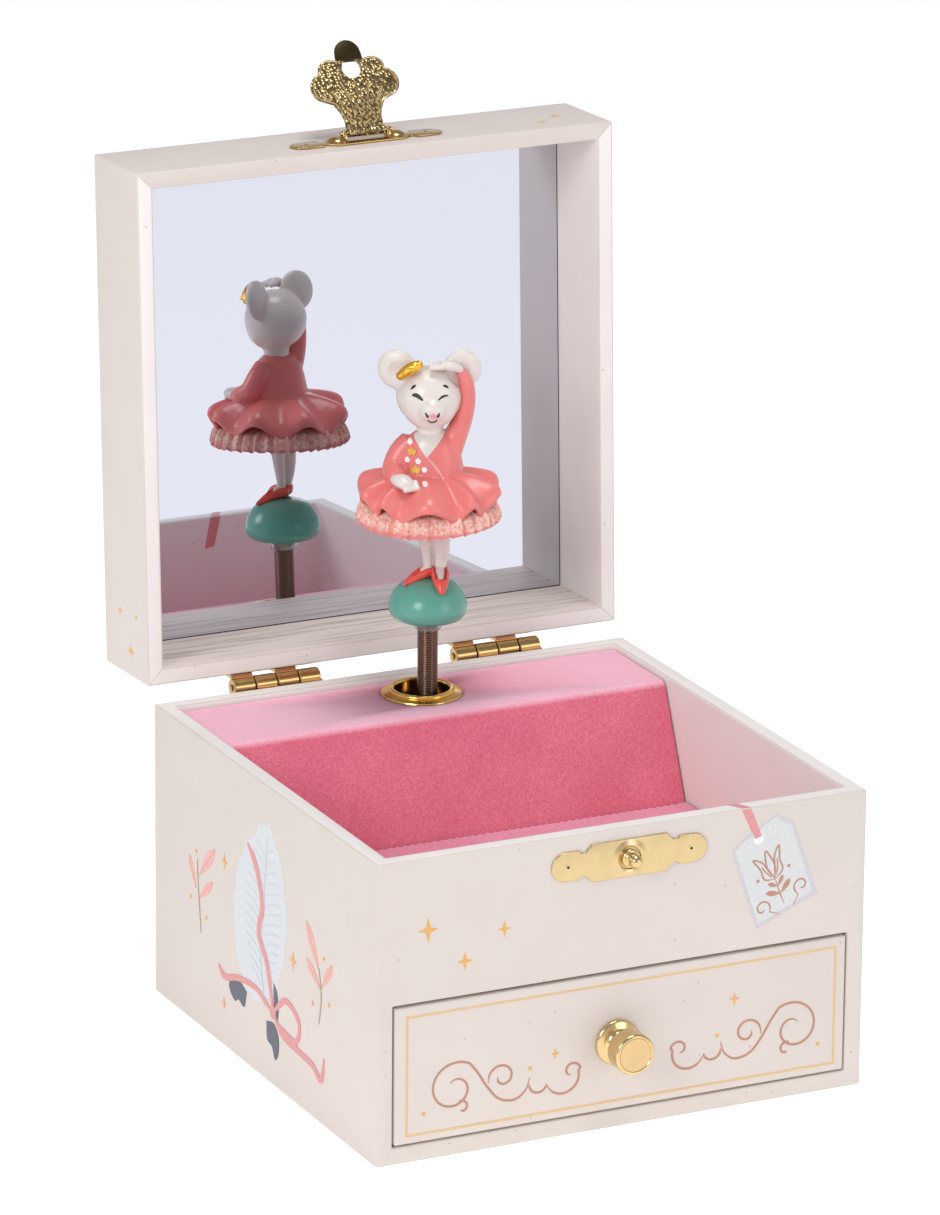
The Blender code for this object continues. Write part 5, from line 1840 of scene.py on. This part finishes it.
    def build_skirt(self) -> Item:
        """A flared skirt whose folds deepen towards a rolled hem that turns down."""
        steps, waist_r, waist_z = 220, 5.6, 122.6
        profile = [(0.0, 0.0), (0.22, 0.08), (0.45, 0.2), (0.68, 0.36), (0.86, 0.52), (0.96, 0.68),
            (1.0, 0.86), (0.995, 1.0)]
        bm = bmesh.new()
        layers = []
        for inside in (False, True):
            for share, drop in profile[::-1] if inside else profile:
                ring = []
                for k in range(steps):
                    turn = 2 * math.pi * k / steps
                    swell = self.fold(turn)
                    depth = share**1.2
                    r = waist_r + (self.skirt_reach - 1.05 - waist_r) * share + 0.9 * swell * depth
                    sway = 1.55 * swell * depth + 0.4 * math.cos(2 * turn) * depth
                    z = waist_z - 7.0 * drop + sway
                    if inside:
                        r -= 1.1 * (0.4 + 0.6 * drop)
                        z -= 1.2 * (1 - drop) + 0.1
                    ring.append(bm.verts.new(self.at(r * math.cos(turn), r * math.sin(turn), z)))
                layers.append(ring)
        for low, high in zip(layers, layers[1:] + layers[:1]):
            close_band(bm, low, high)
        return to_object("skirt", bm, 60.0)

    def build_hands(self) -> None:
        """A mitten hand on the skirt and another laid over the head, each with short fingers."""
        low = [self.limb("palm", [(-7.4, 6.8, 122.2, 1.7), (-6.0, 9.0, 122.3, 2.3),
            (-4.6, 10.6, 121.7, 1.8)], 14, 0.7)]
        for k in range(4):
            low.append(self.limb("finger",
                [(-5.8 + 0.85 * k, 9.6 - 0.2 * k, 122.2, 0.8),
                (-5.1 + 0.9 * k, 11.9 - 0.4 * k, 120.8, 0.66)], 10))
        hand = sculpt(join("figure_hand_low", low), 0.22, 2)
        self.keep(hand, SKIN, Slot.CREAM)
        high = [self.limb("palm", [(7.0, 2.2, 146.9, 1.3), (5.0, 3.2, 148.0, 1.75),
            (2.8, 3.2, 148.3, 1.4)], 14, 0.7)]
        for k in range(3):
            high.append(self.limb("finger",
                [(3.2, 4.4 - 1.1 * k, 148.1, 0.8), (0.2 + 0.4 * k, 4.6 - 1.3 * k, 147.9, 0.6)], 10))
        hand = sculpt(join("figure_hand_high", high), 0.22, 2)
        self.keep(hand, SKIN, Slot.CREAM)

    def decal(self, name: str, tree: BVHTree, outlines: Iterable[Sequence[Point2]], lift: float,
            grid: float = 0.4) -> Item:
        """Paint laid on a casting's front: flat outlines pressed back onto its surface.

        Args:
            name: the new object's name.
            tree: the casting's surface.
            outlines: shapes of (u, z) points, seen from the front.
            lift: the paint's thickness in millimetres.
            grid: how finely the paint follows the surface.

        Returns:
            The closed coat of paint.
        """
        bm = bmesh.new()
        for outline in outlines:
            face = bm.faces.new([bm.verts.new(Vector(self.at(u, 40.0, z))) for u, z in outline])
            bmesh.ops.triangulate(bm, faces=[face])
        for _ in range(5):
            long = [e for e in bm.edges if e.calc_length() > grid]
            if not long:
                break
            bmesh.ops.subdivide_edges(bm, edges=long, cuts=1)
            bmesh.ops.triangulate(bm, faces=[f for f in bm.faces if len(f.verts) > 3])
        kept_flat = set(bm.verts)
        under, over = {}, {}
        for vertex in bm.verts[:]:
            spot, normal, _, _ = tree.ray_cast(vertex.co * MM, Vector((0, 1, 0)))
            if spot is not None:
                under[vertex] = bm.verts.new(spot / MM - normal * 0.05)
                over[vertex] = bm.verts.new(spot / MM + normal * lift)
        flat = [f for f in bm.faces if all(v in under for v in f.verts)]
        rim = [e for e in bm.edges if sum(f in flat for f in e.link_faces) == 1]
        for face in flat:
            bm.faces.new([over[v] for v in face.verts])
            bm.faces.new([under[v] for v in reversed(face.verts)])
        for edge in rim:
            a, b = edge.verts
            bm.faces.new((under[a], under[b], over[b], over[a]))
        bmesh.ops.delete(bm, geom=[v for v in bm.verts if v in kept_flat], context="VERTS")
        return to_object(name, bm, 60.0)

    def surface(self, item: Item) -> BVHTree:
        """The surface that paint is pressed onto."""
        return BVHTree.FromObject(item, bpy.context.evaluated_depsgraph_get())

    def star_outline(self, u: float, z: float, size: float) -> list[Point2]:
        """A fat five-pointed star."""
        outline = []
        for k in range(10):
            reach = size if k % 2 == 0 else size * 0.5
            turn = math.radians(90 + 36 * k)
            outline.append((u + reach * math.cos(turn), z + reach * math.sin(turn)))
        return outline

    def paint_dress(self, dress: Item) -> None:
        """The bare neck, white dots and two gilt stars on one side, and a painted highlight along
        the wrap's crease.
        """
        tree = self.surface(dress)
        neck = [(-4.8, 134.2), (-4.4, 132.4), (-0.5, 126.7), (4.4, 132.7), (4.9, 134.2)]
        self.keep(self.decal("figure_neckline", tree, [neck], 0.12), SKIN, Slot.CREAM)
        dots = [(-4.3, 129.9), (-4.9, 125.9), (-2.4, 125.9), (-1.0, 124.1), (-0.8, 121.8)]
        rounds = [arc(spot, 0.62, 0, 330, 12) for spot in dots]
        rounds[-1] = [(u, dots[-1][1] + (z - dots[-1][1]) * 0.45) for u, z in rounds[-1]]
        self.keep(self.decal("figure_white_dots", tree, rounds, 0.16), WHITE_PAINT, Slot.CREAM)
        stars = [self.star_outline(-3.8, 127.9, 1.15), self.star_outline(-3.0, 123.9, 1.25)]
        self.keep(self.decal("figure_gilt_stars", tree, stars, 0.22), GILT_STAR, Slot.BRASS)
        # Painted highlight: a light coral stroke along the wrap's crease.
        crease = [self.stroke([(-0.4, 126.9), (1.6, 124.6), (3.6, 121.6)], 0.7)]
        self.keep(self.decal("figure_wrap_crease", tree, crease, 0.14, 0.3),
            CORAL_HIGHLIGHT, Slot.CORAL)

    def build_head(self) -> None:
        """A round head with a small muzzle and dished ears, and its painted face."""
        skull = ball("skull", self.at(0.0, 0.0, 140.2), (7.6, 7.4, 7.1))
        jaw = ball("jaw", self.at(0.1, 1.2, 138.4), (6.4, 6.2, 5.8))
        muzzle = ball("muzzle", self.at(0.6, 5.4, 138.3), (3.4, 4.0, 3.0), (-14.0, 0.0, 0.0))
        ears = [ball("ear", self.at(side * 7.3, -0.6, 146.0), (4.75, 1.8, 4.95),
            (8.0, 0.0, side * 14.0)) for side in (-1, 1)]
        neck = self.limb("neck", [(0.2, 0.0, 128.0, 3.2), (0.2, 0.3, 131.5, 3.0),
            (0.2, 0.3, 134.0, 3.4)])
        dents = [ball("dent", self.at(side * 7.5, 2.2, 146.1), (3.5, 1.6, 3.7),
            (8.0, 0.0, side * 14.0)) for side in (-1, 1)]
        head = sculpt(join("figure_head_cast", [skull, jaw, muzzle, *ears, neck]), 0.3, 5)
        carve(head, *dents)
        sculpt(head, 0.28, 4)
        self.paint_face(head)
        self.build_tiara()
        self.keep(head, SKIN, Slot.CREAM, "figure_head")

    def stroke(self, points: Sequence[Point2], width: float) -> list[Point2]:
        """The outline of a brush stroke that swells in its middle."""
        path = smooth_path(points, 5)
        last = len(path) - 1
        left, right = [], []
        for k, point in enumerate(path):
            along = (path[min(k + 1, last)] - path[max(k - 1, 0)]).normalized()
            half = width / 2 * (0.35 + 0.65 * math.sin(math.pi * k / last))
            left.append((point.x - along.y * half, point.y + along.x * half))
            right.append((point.x + along.y * half, point.y - along.x * half))
        return left + right[::-1]

    def paint_face(self, head: Item) -> None:
        """Closed eyes, short brows, a rose nose, a small smile and soft cheeks."""
        tree = self.surface(head)
        eyes = [self.stroke([(-3.9, 141.8), (-2.8, 141.9), (-1.4, 140.9)], 0.95),
            self.stroke([(2.0, 141.0), (3.1, 141.7), (4.3, 141.8)], 0.55)]
        brows = [self.stroke([(-4.2, 143.0), (-3.6, 143.6), (-3.0, 144.0)], 0.5),
            self.stroke([(3.1, 143.9), (3.6, 143.8), (4.3, 143.3)], 0.5)]
        smile = [self.stroke([(-0.3, 136.6), (0.4, 135.8), (1.2, 135.9), (1.8, 136.7)], 0.68)]
        cheeks = [self.stroke([(-0.9, 138.5), (-0.4, 137.7), (-0.2, 137.3)], 0.6),
            self.stroke([(2.3, 138.4), (2.0, 137.6), (1.9, 137.3)], 0.6)]
        paint = self.decal("figure_eyes_and_smile", tree, eyes + brows + smile + cheeks, 0.07, 0.25)
        self.keep(paint, BLACK_PAINT, Slot.CREAM)
        nose = [arc((0.95, 137.8), 0.62, 0, 345, 20)]
        self.keep(self.decal("figure_nose", tree, nose, 0.25, 0.3), ROSE_PAINT, Slot.CREAM)

    def build_tiara(self) -> None:
        """A little gilt coronet set aslant by one ear, with a beaded rim."""
        base = [(-6.9, 2.8, 145.2, 1.0), (-5.3, 3.8, 146.7, 1.35), (-3.6, 4.0, 147.8, 1.35),
            (-2.0, 3.6, 148.5, 1.0)]
        parts = [self.limb("band", base, 16)]
        for k in range(5):
            share = k / 4
            u, f, z = -6.6 + 4.4 * share, 4.4 + 0.6 * math.sin(math.pi * share), 145.9 + 3.0 * share
            parts.append(ball("bead", self.at(u, f, z), (0.6, 0.6, 0.6), segments=16))
        self.keep(sculpt(join("figure_tiara", parts), 0.2, 1), TIARA_GOLD, Slot.BRASS)


@dataclass
class Movement:
    """Dresses the clockwork, which stays as it is modelled, and gives the key its pressed wings."""

    sizes: Sizes

    def build(self, nodes: dict[str, Item]) -> None:
        """Gives each part its metal, and each inner board its bare fibre."""
        steel = ("movement_bedplate", "comb", "comb_screw_lower", "comb_screw_upper",
            "cylinder_arbor", "mainspring", "winding_arbor", "drawer_knob_screw")
        brass = ("music_cylinder", "spring_barrel", "crown_gear", "governor_wheel", "governor_fan")
        boards = ("base_board", "tray_deck", "bay_partition", "platform_board")
        for names, finish in ((steel, STEEL), (brass, PALE_BRASS), (boards, BOARD),
                (("mirror",), GLASS)):
            for name in names:
                nodes[name].data.materials.clear()
                nodes[name].data.materials.append(finish.make())
        self.build_key()
        LOG.info("dressed the movement")

    def build_key(self) -> None:
        """A winding key: a turned hub and two pressed wings with round ends and holes."""
        low, high = box_mm("winding_arbor")
        x, z = (low.x + high.x) / 2, (low.z + high.z) / 2
        hub = turned("hub", [(1.55, 61.1), (2.9, 61.1), (3.2, 61.4), (3.2, 67.2), (2.9, 67.5),
            (1.55, 67.5)], lambda a, b, h: (x + a, h, z + b), 48)
        parts = [hub]
        for side in (-1, 1):
            ring = arc((7.2, 72.0), 4.0, -60, 150, 20)
            blade = [(2.0, 62.4), (5.0, 65.2)] + ring + [(2.0, 67.0)]
            wing = prism("wing", [(x + side * u, v) for u, v in blade],
                lambda u, v, h: (u, v, z + h), -0.6, 0.6)
            hole = turned("hole", [(0, -2), (1.9, -2), (1.9, 2), (0, 2)],
                lambda a, b, h, s=side: (x + s * 7.2 + a, 72.0 + b, z + h), 32)
            parts.append(soften(carve(wing, hole), 0.25, 3, 30))
        finish_piece(join("winding_key_pressed", parts), STEEL, "winding", Slot.STEEL,
            "winding_key")


def main() -> None:
    """Loads the frame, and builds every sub-assembly."""
    logging.basicConfig(level=logging.INFO, format="%(name)s: %(message)s")
    for old in list(bpy.data.objects):
        bpy.data.objects.remove(old, do_unlink=True)
    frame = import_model()
    sizes = Sizes.read(frame)
    Studio().build()
    for kind in (Case, Lid, Hinges, Clasp, Drawer, FrontArt, SideArt, SpringPost, Dancer):
        kind(sizes).build()
    Movement(sizes).build(frame["nodes"])
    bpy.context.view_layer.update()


if __name__ == "__main__":
    main()
